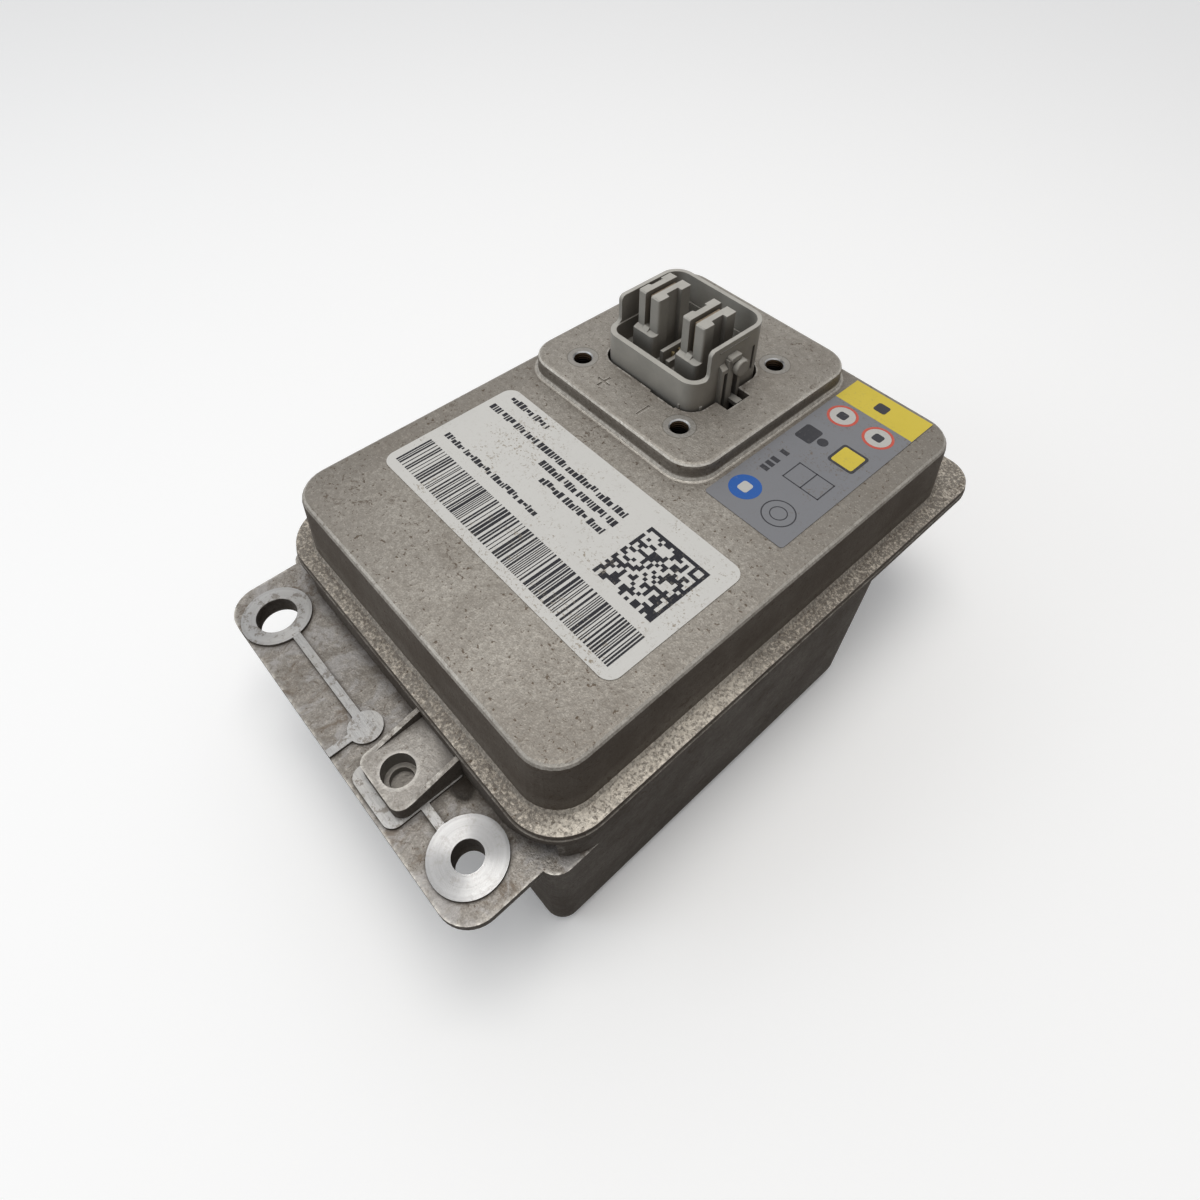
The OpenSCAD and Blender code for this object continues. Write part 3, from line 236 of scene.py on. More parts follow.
class Casting(Graph):
    """Aged sand-grey metal, built layer by layer. x, y and z are in millimetres of the frame."""

    def __init__(self, name, base, dark, light, shade_and_grime):
        super().__init__(name)
        self.x, self.y, self.z = (self.both(self.axis(a), 1 / MM) for a in "XYZ")
        self.up = self.normal_part("Z")
        self.level = self.ramp(self.up, 0.5, 0.9)
        self.side = self.ramp(self.math("ABSOLUTE", self.up), 0.35, 0.85, 1.0, 0.0)
        self.cloud = self.noise(85, 6, 0.7, distort=0.5)
        self.grain = self.noise(2300, 3, 0.6)
        self.speck = self.noise(880, 4, 0.6)
        self.dark = dark
        self.shade_and_grime = shade_and_grime
        self.colour = self.mix(self.ramp(self.noise(19, 5, 0.6), 0.35, 0.68), base, light)

    def paint(self, mask, colour):
        self.colour = self.mix(mask, self.colour, colour)

    def from_point(self, point, squeeze=1.0):
        """The flat distance from a point, with X squeezed by a factor."""
        return self.far(self.both(self.minus(self.x, point[0]), squeeze), self.minus(self.y, point[1]))

    def add_grain(self):
        """Patina, fine grain, dark specks and brown blots."""
        patina = self.noise(620, 5, 0.72)
        self.paint(self.ramp(self.cloud, 0.42, 0.74, 0.0, 0.65), self.dark)
        self.paint(self.ramp(patina, 0.40, 0.60, 0.45, 0.0), self.dark)
        self.paint(self.ramp(patina, 0.50, 0.68, 0.0, 0.22), TAN)
        self.paint(self.ramp(self.grain, 0.34, 0.56, 0.50, 0.0), self.dark)
        self.paint(self.ramp(self.grain, 0.56, 0.74, 0.0, 0.34), SAND)
        self.paint(self.ramp(self.speck, 0.62, 0.66, 0.0, 0.85), BROWN)
        blot = self.ramp(self.noise(330, 6, 0.8, distort=1.2), 0.55, 0.64)
        cluster = self.ramp(self.noise(30, 4, 0.6), 0.42, 0.64)
        self.paint(self.both(blot, self.blend(cluster, 0.10, 0.90)), BROWN)

    def add_dirt_and_shade(self, on_pad_wall=None):
        """Creases and walls darker: painted shade, with soiling that also dulls the metal. A mask may thin
        it on the pad's wall.
        """
        # Painted shade in creases, mixed with soiling.
        crease = self.ramp(self.occlusion(5), 0.40, 0.88, 1.0, 0.0)
        crease = self.both(crease, self.ramp(self.noise(150, 5, 0.7), 0.35, 0.6, 0.45, 1.0))
        # Painted shade: side faces darker because of how the light falls on them.
        wall = self.both(self.side, self.ramp(self.noise(46, 5, 0.65), 0.3, 0.7, 0.78, 1.0))
        foot = self.within(self.z, LEDGE_TOP + 1, LEDGE_TOP + 5, 1.5)
        wall = self.both(wall, self.blend(foot, 1.0, 0.80))
        if on_pad_wall is not None:
            wall = self.both(wall, on_pad_wall)
        self.dirt_and_shade = self.most(crease, wall)

    def add_ledge(self):
        """The ledge round the lid, mottled brown between bare grains, with painted shade near its walls and
        a painted highlight at the front right.
        """
        band = self.both(self.within(self.z, LEDGE_TOP - 0.9, LEDGE_TOP + 1.2, 0.5), self.level)
        mottle = self.ramp(self.noise(1000, 5, 0.75, distort=0.4), 0.42, 0.58, 0.10, 0.88)
        # Painted shade near the walls, mixed with soiling.
        near = self.ramp(self.occlusion(6), 0.45, 0.95, 1.0, 0.45)
        self.dirt_and_shade = self.most(self.dirt_and_shade, self.both(band, mottle, near))
        self.paint(self.both(band, self.ramp(self.noise(1500, 3, 0.7), 0.46, 0.62, 0.0, 0.8)), BARE_GRAIN)
        # Painted highlight: brighter grains and less darkening at the front right.
        lit = self.both(band, self.ramp(self.x, 48, 56), self.ramp(self.y, -22, 6, 1.0, 0.0))
        self.dirt_and_shade = self.both(self.dirt_and_shade, self.blend(lit, 1.0, 0.45))
        self.paint(self.both(lit, self.ramp(self.noise(1150, 4, 0.7), 0.42, 0.57, 0.05, 0.85)), LIT_GRAIN)
        # The soiling and painted shade, in their dark colour.
        self.paint(self.both(self.dirt_and_shade, 0.82), self.shade_and_grime)

    def add_rub_and_highlight(self):
        """Sharp edges, rubbed bare in places and lightened as a painted highlight, less so on walls and on
        the flanges.
        """
        edge = self.ramp(self.occlusion(1.3, inside=True), 0.45, 0.80, 1.0, 0.0)
        patchy = self.ramp(self.noise(420, 4, 0.7), 0.42, 0.60, 0.05, 1.0)
        flange = self.within(self.z, LEDGE_TOP - 4, LEDGE_TOP + 0.3, 0.2)
        self.rub_and_highlight = self.both(edge, patchy, self.blend(self.side, 1.0, 0.35), self.blend(flange, 1.0, 0.15))

    def paint_rub_and_highlight(self):
        # Paints rubbed wear and painted edge highlights in a pale colour.
        self.paint(self.both(self.rub_and_highlight, 0.76), RUBBED_AND_HIGHLIT)

    def settle(self):
        """The shine and relief of the painted casting, before holes and machined faces."""
        clean = self.math("SUBTRACT", 1.0, self.dirt_and_shade, clamp=True)
        self.metallic = self.both(clean, 0.5)
        self.rough = self.blend(self.dirt_and_shade, self.ramp(self.cloud, 0.3, 0.75, 0.40, 0.52), 0.80)
        fine = self.plus(self.both(self.grain, 0.5), self.speck)
        self.height = self.plus(fine, self.both(self.cloud, 0.6))

    def polish(self, shine, rough):
        """Bare metal where shine is 1."""
        self.metallic = self.most(self.metallic, shine)
        self.rough = self.blend(shine, self.rough, rough)

    def finish(self):
        self.set(
            base_color=self.colour, metallic=self.metallic, roughness=self.rough, specular_ior_level=0.12,
            normal=self.bump(self.height, 0.55, 0.32))
        return self.mat


def lid_painted_shade(g):
    """Painted shade: the lid's top darkens away from a point in its front half, and along its left side,
    leaving a painted pool of light at the front.
    """
    away = g.ramp(g.from_point((0, -20)), 30, 85, 0.0, 0.62)
    away = g.both(away, g.ramp(g.z, PAD_TOP - 3.1, PAD_TOP - 1.1, 1.0, 0.38))
    strip = g.both(g.ramp(g.x, -47, -41, 0.46, 0.0), g.ramp(g.z, LID_TOP + 0.3, LID_TOP + 1.3, 1.0, 0.0))
    g.paint(g.most(away, strip), tuple(c * 0.55 for c in g.dark))


def rounded_edge(g, low, high, much):
    """Wear and a painted highlight along a rounded edge between two heights, on faces that lean."""
    leaning = g.both(g.ramp(g.up, 0.25, 0.60), g.ramp(g.up, 0.90, 0.995, 1.0, 0.0))
    worn = g.ramp(g.noise(1100, 4, 0.75), 0.38, 0.62, 0.50, 1.0)
    patchy = g.ramp(g.noise(60, 4, 0.7), 0.35, 0.60, 0.62 * much, much)
    g.rub_and_highlight = g.most(g.rub_and_highlight, g.both(g.within(g.z, low, high, EDGE_SOFT), leaning, worn, patchy))


def pad_foot(g):
    """Bare grains and a painted highlight on the fillet round the pad's foot."""
    fillet = g.within(g.z, LID_TOP + 0.05, LID_TOP + 1, EDGE_SOFT)
    leaning = g.both(g.ramp(g.up, 0.15, 0.45), g.ramp(g.up, 0.94, 0.995, 1.0, 0.0))
    g.rub_and_highlight = g.most(g.rub_and_highlight, g.both(fillet, leaning, g.ramp(g.noise(900, 4, 0.75), 0.38, 0.60, 0.55, 1.0)))


def pad_holes(g):
    """Milled spots round the four tapped holes, the holes' bright rims, and their threads, with painted
    shade darkening the bores deeper down.
    """
    du = g.minus(g.math("ABSOLUTE", g.minus(g.x, PAD_HOLES[0])), PAD_PITCH / 2)
    dv = g.minus(g.math("ABSOLUTE", g.minus(g.y, PAD_HOLES[1])), PAD_PITCH / 2)
    r = g.far(du, dv)
    on_pad = g.ramp(g.z, PAD_TOP - 1.1, PAD_TOP - 0.6)
    spot = g.both(on_pad, g.ramp(r, SPOT_R - 0.1, SPOT_R + 0.1, 1.0, 0.0))
    line = g.both(on_pad, g.within(r, SPOT_R - 0.17, SPOT_R + 0.17, 0.08))
    g.paint(g.both(spot, 0.55), (0.300, 0.292, 0.275))
    g.paint(g.both(line, 0.55), (0.13, 0.115, 0.095))
    below_face = g.ramp(g.z, PAD_TOP - 0.10, PAD_TOP - 0.05, 1.0, 0.0)
    rim = g.both(on_pad, g.ramp(r, 3.1, 3.3, 1.0, 0.0), below_face)
    bore = g.both(g.ramp(r, 2.62, 2.68, 1.0, 0.0), g.ramp(g.z, PAD_TOP - 0.6, PAD_TOP - 0.4, 1.0, 0.0))
    g.paint(rim, (0.40, 0.40, 0.40))
    # Painted shade in the bores: near black deep down, a lit bronze near the top.
    bore_shade = g.ramp(g.z, PAD_TOP - 3.2, PAD_TOP - 0.8)
    g.paint(bore, g.mix(bore_shade, (0.006, 0.005, 0.005), (0.060, 0.038, 0.022)))
    g.polish(g.most(rim, g.both(bore, 0.8)), 0.34)
    thread = g.both(g.math("SINE", g.both(g.z, 2 * math.pi / THREAD_PITCH)), bore)
    g.height = g.plus(g.height, g.both(thread, 1.6))


def plate_stains(g):
    """Pale and murky clouds on the ear plate, and a painted shadow in the corner beside the block."""
    plate = g.both(g.within(g.z, EAR_TOP - 0.6, EAR_TOP + 0.5, 0.2), g.level)
    pale = g.ramp(g.noise(120, 5, 0.7, distort=0.8), 0.46, 0.60, 0.0, 0.55)
    murk = g.ramp(g.noise(95, 6, 0.75, distort=1.0), 0.52, 0.66, 0.0, 0.75)
    g.paint(g.both(plate, pale), (0.38, 0.37, 0.365))
    g.paint(g.both(plate, murk), (0.135, 0.105, 0.078))
    # Painted shadow, near black, in the corner beside the block.
    shade = g.plus(g.from_point(SHADOW_CORNER, 0.75), g.both(g.noise(240, 4, 0.6), 2.2))
    g.paint(g.both(plate, g.ramp(shade, 3.0, 4.6, 0.9, 0.0)), (0.022, 0.019, 0.016))


def machined_faces(g):
    """Milled rings, strips and the block's foot, all at one height, with a painted bow-tie reflection on the
    right ring. Gives their shine and dullness.
    """
    bare = g.both(g.within(g.z, RING_TOP - 0.08, RING_TOP + 0.08, 0.04), g.ramp(g.up, 0.80, 0.95))
    right = g.ramp(g.x, -0.1, 0.1)
    dx = g.minus(g.x, g.blend(right, LEFT_HOLE[0], RIGHT_HOLE[0]))
    dy = g.minus(g.y, g.blend(right, LEFT_HOLE[1], RIGHT_HOLE[1]))
    r = g.far(dx, dy)
    ring = g.ramp(r, RING_R - 0.05, RING_R + 0.05, 1.0, 0.0)
    grooves = g.math("SINE", g.both(r, 2 * math.pi / GROOVE_PITCH))
    turned = g.plus(g.both(grooves, 0.16), g.noise(1.3, 2, 0.6, g.along(r)))
    milled = g.noise(1, 4, 0.7, g.stretch(260, 2600, 260))
    marks = g.blend(ring, milled, turned)
    dull = g.blend(right, 0.62, g.blend(ring, 0.62, 0.12))
    stain = g.both(g.ramp(g.noise(360, 5, 0.8), 0.52, 0.62), g.plus(dull, 0.1))
    film = g.both(g.ramp(g.noise(70, 4, 0.6), 0.35, 0.65, 0.35, 1.0), dull)
    skin = g.mix(film, (0.370, 0.373, 0.377), (0.42, 0.405, 0.38))
    skin = g.mix(g.both(g.ramp(marks, 0.38, 0.72), g.blend(ring, 0.55, 0.50)), skin, (0.25, 0.245, 0.24))
    # Painted reflection: the right ring darker where its radius runs along Y, leaving a bow-tie highlight.
    painted_bow_tie = g.math("DIVIDE", g.both(dy, dy), g.plus(g.both(r, r), 0.001))
    skin = g.mix(g.both(ring, right, g.ramp(painted_bow_tie, 0.08, 0.70, 0.0, 0.55)), skin, (0.20, 0.202, 0.206))
    g.paint(bare, g.mix(stain, skin, (0.15, 0.13, 0.11)))
    g.height = g.blend(bare, g.height, g.both(marks, g.blend(ring, 0.5, 0.24)))
    return g.both(bare, g.blend(film, 0.95, 0.7)), dull


def block_hole(g):
    """The wall of the block's stepped hole, and the worn top round it. Gives the hole's mask."""
    from_hole = g.from_point(BLOCK_HOLE)
    step = g.both(
        g.ramp(from_hole, BLOCK_HOLE_R - 0.05, BLOCK_HOLE_R + 0.05, 1.0, 0.0),
        g.ramp(g.z, BLOCK_TOP - 0.4, BLOCK_TOP - 0.2, 1.0, 0.0))
    g.paint(g.both(step, 0.85), (0.24, 0.225, 0.205))
    top = g.both(g.within(g.z, BLOCK_TOP - 0.3, BLOCK_TOP + 0.3, 0.2), g.level)
    worn = g.most(0.22, g.ramp(from_hole, BLOCK_HOLE_R + 0.3, BLOCK_HOLE_R + 1.3, 0.55, 0.0))
    g.paint(g.both(top, worn), (0.52, 0.50, 0.47))
    return step


def lid_casting():
    g = Casting(
        "lid_casting", base=(0.335, 0.313, 0.280), dark=(0.205, 0.184, 0.158),
        light=(0.395, 0.371, 0.333), shade_and_grime=(0.092, 0.072, 0.056))
    # Painted shade on the lid's top, lighter at the front.
    lid_painted_shade(g)
    g.add_grain()
    # Less painted wall shade on the pad's wall.
    g.add_dirt_and_shade(on_pad_wall=g.ramp(g.z, LID_TOP + 0.6, LID_TOP + 1.4, 1.0, 0.50))
    g.add_ledge()
    g.add_rub_and_highlight()
    rounded_edge(g, LID_TOP - 1.6, LID_TOP - 0.05, 0.5)
    rounded_edge(g, PAD_TOP - 1.2, PAD_TOP - 0.05, 1.0)
    pad_foot(g)
    g.paint_rub_and_highlight()
    g.settle()
    pad_holes(g)
    return g.finish()


def tub_casting():
    g = Casting(
        "tub_casting", base=(0.285, 0.265, 0.240), dark=(0.155, 0.138, 0.118),
        light=(0.34, 0.32, 0.295), shade_and_grime=(0.052, 0.040, 0.030))
    g.add_grain()
    plate_stains(g)
    g.add_dirt_and_shade()
    g.add_ledge()
    g.add_rub_and_highlight()
    g.paint_rub_and_highlight()
    g.settle()
    shine, dull = machined_faces(g)
    step = block_hole(g)
    g.polish(g.most(shine, g.both(step, 0.6)), g.blend(dull, 0.30, 0.40))
    return g.finish()


def plastic(name, colour, rough=0.45, mottle=0.12):
    """A moulded plastic or rubber with slight mottling."""
    g = Graph(name)
    cloud = g.noise(140, 5, 0.65)
    darker = tuple(c * (1 - mottle * 2.2) for c in colour)
    g.set(
        base_color=g.mix(g.ramp(cloud, 0.35, 0.7), colour, darker), specular_ior_level=0.3,
        roughness=g.ramp(cloud, 0.3, 0.7, rough - 0.05, rough + 0.1),
        normal=g.bump(g.noise(2200, 2, 0.6), 0.08, 0.1, g.soft_edges(0.3)))
    return g.mat


def socket_plastic():
    """The connector's grey plastic, with painted shade in its depths and a browner painted shade on the
    faces toward +X.
    """
    g = Graph("socket_plastic")
    colour = (0.45, 0.435, 0.395)
    cloud = g.noise(140, 5, 0.65)
    paint = g.mix(g.ramp(cloud, 0.35, 0.7), colour, tuple(c * 0.868 for c in colour))
    # Painted shade in the socket's depths.
    paint = g.mix(g.ramp(g.occlusion(10), 0.25, 0.85, 0.85, 0.0), paint, (0.10, 0.092, 0.082))
    # Painted shade: faces toward +X browner and darker.
    paint = g.mix(g.ramp(g.normal_part("X"), 0.3, 0.9, 0.0, 0.40), paint, (0.20, 0.165, 0.13))
    g.set(
        base_color=paint, specular_ior_level=0.3, roughness=g.ramp(cloud, 0.3, 0.7, 0.37, 0.52),
        normal=g.bump(g.noise(2200, 2, 0.6), 0.08, 0.1, g.soft_edges(0.25)))
    return g.mat


def metal(name, colour, rough):
    """A clean metal part with a little tarnish."""
    g = Graph(name)
    n = g.noise(900, 4, 0.7)
    tarnish = g.ramp(g.noise(120, 5, 0.7), 0.4, 0.7, 0.0, 0.6)
    g.set(
        base_color=g.mix(tarnish, colour, tuple(c * 0.6 for c in colour)), metallic=0.9,
        roughness=g.ramp(n, 0.3, 0.7, rough - 0.05, rough + 0.12), normal=g.bump(n, 0.15, 0.1))
    return g.mat


def foam(name, colour):
    """A dull foam with fine cells."""
    g = Graph(name)
    cells = g.voronoi(1400)
    g.set(
        base_color=g.mix(g.ramp(cells, 0.1, 0.6), tuple(c * 0.6 for c in colour), colour), roughness=0.9,
        normal=g.bump(cells, 0.5, 0.4))
    return g.mat


def print_stock(name, colour, wear, wear_colour, rough=0.38):
    """A printed film on the lid: flat colour with stains and rubbed specks."""
    g = Graph(name)
    cloud = g.noise(60, 5, 0.7)
    spots = g.noise(620, 6, 0.8)
    fine = g.noise(1500, 3, 0.6)
    cluster = g.ramp(g.noise(55, 4, 0.7), 0.46, 0.62, 0.08, 1.0)
    scuff = g.noise(1, 5, 0.75, g.stretch(900, 120, 300))
    paint = g.mix(g.ramp(cloud, 0.4, 0.72, 0.0, 0.25), colour, tuple(c * 0.84 for c in colour))
    paint = g.mix(g.both(g.ramp(spots, 0.56, 0.64, 0.0, wear), cluster), paint, wear_colour)
    paint = g.mix(g.both(g.ramp(fine, 0.58, 0.66, 0.0, wear), cluster), paint, wear_colour)
    paint = g.mix(g.ramp(scuff, 0.63, 0.74, 0.0, wear * 0.6), paint, wear_colour)
    g.set(
        base_color=paint, specular_ior_level=0.3, normal=g.bump(spots, 0.12, 0.08),
        roughness=g.ramp(cloud, 0.3, 0.7, rough - 0.05, rough + 0.12))
    return g.mat


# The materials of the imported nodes

SOCKET = socket_plastic()
looks = (
    (lid_casting(), ("lid",)),
    (tub_casting(), ("tub",)),
    (SOCKET, ("connector_housing",)),
    (plastic("black_plastic", (0.025, 0.025, 0.027), 0.5), ("board_carrier",)),
    (print_stock("white_stock", (0.62, 0.61, 0.58), 0.8, (0.24, 0.19, 0.13)), ("white_label",)),
    (print_stock("grey_stock", (0.200, 0.203, 0.216), 0.7, (0.13, 0.10, 0.07)), ("grey_label",)),
    (plastic("sealant", (0.05, 0.05, 0.052), 0.6), ("lid_sealant",)),
    (plastic("seal_rubber", (0.02, 0.02, 0.02), 0.65), ("connector_seal",)),
    (metal("pin_metal", (0.75, 0.62, 0.36), 0.28), ("signal_pins",)),
    (plastic("sheet_stock", (0.75, 0.73, 0.66), 0.6), ("cell_sheets",)),
    (plastic("board_green", (0.02, 0.13, 0.06), 0.35), ("circuit_board",)),
    (plastic("fuse_body", (0.74, 0.71, 0.62), 0.5), ("fuse",)),
    (metal("shunt_metal", (0.50, 0.42, 0.34), 0.4), ("current_shunt",)),
    (plastic("capacitor_sleeve", (0.10, 0.11, 0.14), 0.35), ("capacitors",)),
    (metal("blade_metal", (0.42, 0.34, 0.25), 0.42), ("positive_blade", "negative_blade")),
    (metal("copper", (0.66, 0.33, 0.19), 0.32), ("cell_links", "positive_busbar", "negative_busbar")),
    (metal("screw_steel", (0.55, 0.55, 0.56), 0.3), ("connector_screws", "carrier_screws")),
    (plastic("cell_film", (0.06, 0.15, 0.32), 0.3, 0.05), ("cell_1", "cell_2", "cell_3", "cell_4")),
    (plastic("film", (0.45, 0.22, 0.05), 0.3), ("sense_strip", "signal_strip")),
    (plastic("heat_pad", (0.28, 0.34, 0.42), 0.7), ("heat_pad", "gap_filler")),
    (foam("dark_foam", (0.06, 0.06, 0.065)), ("side_foams", "end_foam", "top_foam")),
    (plastic("package", (0.02, 0.02, 0.022)), ("power_transistors", "controller_chips", "board_sockets")),
)
for mat, names in looks:
    for name in names:
        o = nodes[name]
        for slot in o.material_slots:
            slot.material = mat
        if not o.material_slots:
            o.data.materials.append(mat)


# Camera, from the fit of the photograph

PHOTO_PX = 1200
FOCAL_PX = 813.158
CENTRE_PX = (611.191, 485.076)
EYE = Vector((108.35, -101.09, 231.26))
TURN = Vector((2.22250700, 0.98793362, -0.37430691))
SENSOR = 36

cam_data = bpy.data.cameras.new("camera")
cam = bpy.data.objects.new("camera", cam_data)
bpy.context.scene.collection.objects.link(cam)
world_to_cam = Matrix.Rotation(TURN.length, 3, TURN.normalized())
flip = Matrix(((1, 0, 0), (0, -1, 0), (0, 0, -1)))
turn = world_to_cam.transposed() @ flip
cam.matrix_world = Matrix.Translation(EYE * MM) @ turn.to_4x4()
cam_data.sensor_width = SENSOR
cam_data.sensor_fit = "HORIZONTAL"
cam_data.lens = FOCAL_PX * SENSOR / PHOTO_PX
cam_data.shift_x = -(CENTRE_PX[0] - PHOTO_PX / 2) / PHOTO_PX
cam_data.shift_y = (CENTRE_PX[1] - PHOTO_PX / 2) / PHOTO_PX
cam_data.clip_start = 0.005
bpy.context.scene.camera = cam


# Studio

LIGHT_AIM = Vector((0, 0, 0.05))


def area(name, place, size, power, colour):
    """A square area light that looks at the part."""
    data = bpy.data.lights.new(name, "AREA")
    data.shape = "RECTANGLE"
    data.size = data.size_y = size
    data.energy = power
    data.color = colour
    o = bpy.data.objects.new(name, data)
    o.location = place
    o.rotation_euler = (LIGHT_AIM - Vector(place)).to_track_quat("-Z", "Y").to_euler()
    bpy.context.scene.collection.objects.link(o)


def seen(tree):
    """1 for camera, glossy and transmission rays, which see the pale background."""
    path = tree.nodes.new("ShaderNodeLightPath")
    total = path.outputs["Is Camera Ray"]
    for name in ("Is Glossy Ray", "Is Transmission Ray"):
        n = tree.nodes.new("ShaderNodeMath")
        n.operation = "MAXIMUM"
        tree.links.new(total, n.inputs[0])
        tree.links.new(path.outputs[name], n.inputs[1])
        total = n.outputs[0]
    return total


def sky_ramp(tree, ray, lean, low, high, dark, pale):
    """A tint that rises from dark to pale as the ray turns toward the lean."""
    toward = tree.nodes.new("ShaderNodeVectorMath")
    toward.operation = "DOT_PRODUCT"
    toward.inputs[1].default_value = lean
    fade = tree.nodes.new("ShaderNodeMapRange")
    fade.inputs["From Min"].default_value = low
    fade.inputs["From Max"].default_value = high
    tint = tree.nodes.new("ShaderNodeMix")
    tint.data_type = "RGBA"
    tint.inputs[6].default_value = (*dark, 1)
    tint.inputs[7].default_value = (*pale, 1)
    tree.links.new(ray, toward.inputs[0])
    tree.links.new(toward.outputs["Value"], fade.inputs["Value"])
    tree.links.new(fade.outputs["Result"], tint.inputs["Factor"])
    return tint.outputs[2]


def studio_world():
    """A dim sky, palest above and to the left, that lights the part, and a pale one that is seen."""
    world = bpy.data.worlds.new("studio")
    world.use_nodes = True
    tree = world.node_tree
    ray = tree.nodes.new("ShaderNodeTexCoord").outputs["Generated"]
    pick = tree.nodes.new("ShaderNodeMix")
    pick.data_type = "RGBA"
    light = sky_ramp(tree, ray, (-0.42, -0.08, 0.90), 0.10, 0.90, (0.05, 0.047, 0.044), (0.68, 0.69, 0.71))
    pale = sky_ramp(tree, ray, (0, 0, 1), 0.0, 0.9, (0.84, 0.84, 0.84), (0.92, 0.92, 0.92))
    tree.links.new(seen(tree), pick.inputs["Factor"])
    tree.links.new(light, pick.inputs[6])
    tree.links.new(pale, pick.inputs[7])
    tree.links.new(pick.outputs[2], tree.nodes["Background"].inputs[0])
    tree.nodes["Background"].inputs[1].default_value = 1.0
    return world


def pale_floor():
    """A pale floor that keeps its brightness away from the part, and throws little light back at it."""
    bpy.ops.mesh.primitive_plane_add(size=6, location=(0, 0, -0.0002))
    floor = bpy.context.object
    floor.name = "floor"
    g = Graph("floor_paint")
    away = g.ramp(g.far(g.axis("X"), g.axis("Y")), 0.45, 2.4)
    glow = g.mix(away, (0.11, 0.11, 0.11), (0.36, 0.36, 0.36))
    g.set(
        base_color=g.mix(seen(g.tree), (0.18, 0.17, 0.16), (0.96, 0.96, 0.955)), roughness=0.9,
        emission_color=g.mix(seen(g.tree), (0.0, 0.0, 0.0), glow), emission_strength=1.0)
    floor.data.materials.append(g.mat)


area("key_light", place=(0.02, -0.02, 1.05), size=0.55, power=4.6, colour=(1.0, 0.975, 0.94))
area("front_light", place=(-0.50, -0.78, 0.58), size=0.40, power=1.15, colour=(0.84, 0.92, 1.0))
bpy.context.scene.world = studio_world()
bpy.context.scene.view_settings.view_transform = "Standard"
pale_floor()


# Pieces and outlines, in millimetres

def add_piece(name, mat, bm):
    """A piece of its own that rides on the part."""
    mesh = bpy.data.meshes.new(name)
    bm.to_mesh(mesh)
    bm.free()
    mesh.materials.append(mat)
    o = bpy.data.objects.new(name, mesh)
    bpy.context.scene.collection.objects.link(o)
    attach(o, "root")


def wrap(bm, low, high):
    """The faces between two loops with the same number of corners."""
    for i in range(len(low)):
        j = (i + 1) % len(low)
        bm.faces.new((low[i], low[j], high[j], high[i]))


def slab(bm, outline, z0, z1):
    """A flat prism over an outline."""
    low = [bm.verts.new((x * MM, y * MM, z0 * MM)) for x, y in outline]
    high = [bm.verts.new((x * MM, y * MM, z1 * MM)) for x, y in outline]
    bm.faces.new(high)
    bm.faces.new(list(reversed(low)))
    wrap(bm, low, high)


def rect(x0, x1, y0, y1):
    return [(x0, y0), (x1, y0), (x1, y1), (x0, y1)]


def arc(x, y, r, degrees):
    return [(x + r * math.cos(math.radians(a)), y + r * math.sin(math.radians(a))) for a in degrees]


def disc(x, y, r, n=40):
    return arc(x, y, r, [360 * i / n for i in range(n)])


def rounded(x0, x1, y0, y1, r, n=5):
    """A rectangle with rounded corners of n steps each."""
    outline = []
    centres = ((x1 - r, y1 - r), (x0 + r, y1 - r), (x0 + r, y0 + r), (x1 - r, y0 + r))
    for k, (x, y) in enumerate(centres):
        outline += arc(x, y, r, [90 * (k + i / n) for i in range(n + 1)])
    return outline


def ring(x, y, r1, r0, n=40):
    """A ring of short four-sided outlines."""
    outer, inner = disc(x, y, r1, n), disc(x, y, r0, n)
    return [[inner[i], outer[i], outer[(i + 1) % n], inner[(i + 1) % n]] for i in range(n)]


# The socket's round peg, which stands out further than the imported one, with a small chamfer

WALL_X = 1.33
PEG_OUT = 3.4
PEG_R = 2.4
PEG_AT = (43.42, 89.57)
PEG_CHAMFER = 0.25


def socket_peg():
    bm = bmesh.new()
    loops = []
    tip = WALL_X + PEG_OUT
    for x, r in ((WALL_X - 0.3, PEG_R), (tip - PEG_CHAMFER, PEG_R), (tip, PEG_R - PEG_CHAMFER)):
        loops.append([bm.verts.new((x * MM, y * MM, z * MM)) for y, z in disc(*PEG_AT, r, 48)])
    bm.faces.new(list(reversed(loops[0])))
    bm.faces.new(loops[-1])
    for low, high in zip(loops, loops[1:]):
        wrap(bm, low, high)
    bmesh.ops.recalc_face_normals(bm, faces=bm.faces)
    for face in bm.faces:
        face.smooth = len(face.verts) == 4
    add_piece("socket_peg", SOCKET, bm)


socket_peg()


# Thin printed shapes on the labels, placed from each label's lower left corner

INK = print_stock("black_ink", (0.011, 0.011, 0.016), 0.45, (0.30, 0.27, 0.22), 0.55)
YELLOW = print_stock("yellow_ink", (0.64, 0.505, 0.06), 0.25, (0.30, 0.25, 0.10), 0.4)
RED = print_stock("red_ink", (0.55, 0.092, 0.062), 0.3, (0.35, 0.30, 0.26), 0.4)
BLUE = print_stock("blue_ink", (0.018, 0.100, 0.37), 0.3, (0.30, 0.32, 0.36), 0.4)
PALE = print_stock("pale_ink", (0.50, 0.49, 0.46), 0.35, (0.30, 0.28, 0.25), 0.4)
CHARCOAL = print_stock("charcoal_ink", (0.036, 0.036, 0.042), 0.35, (0.2, 0.19, 0.18), 0.5)
PRINT_T = 0.03
SUNK = 0.02


def printed(name, mat, label_low, outlines, layer=0):
    """A very thin raised print of several outlines on a label."""
    bm = bmesh.new()
    z = PRINT_Z + layer * PRINT_T
    for outline in outlines:
        slab(bm, [(x + label_low[0], y + label_low[1]) for x, y in outline], z - SUNK, z + PRINT_T)
    add_piece(name, mat, bm)


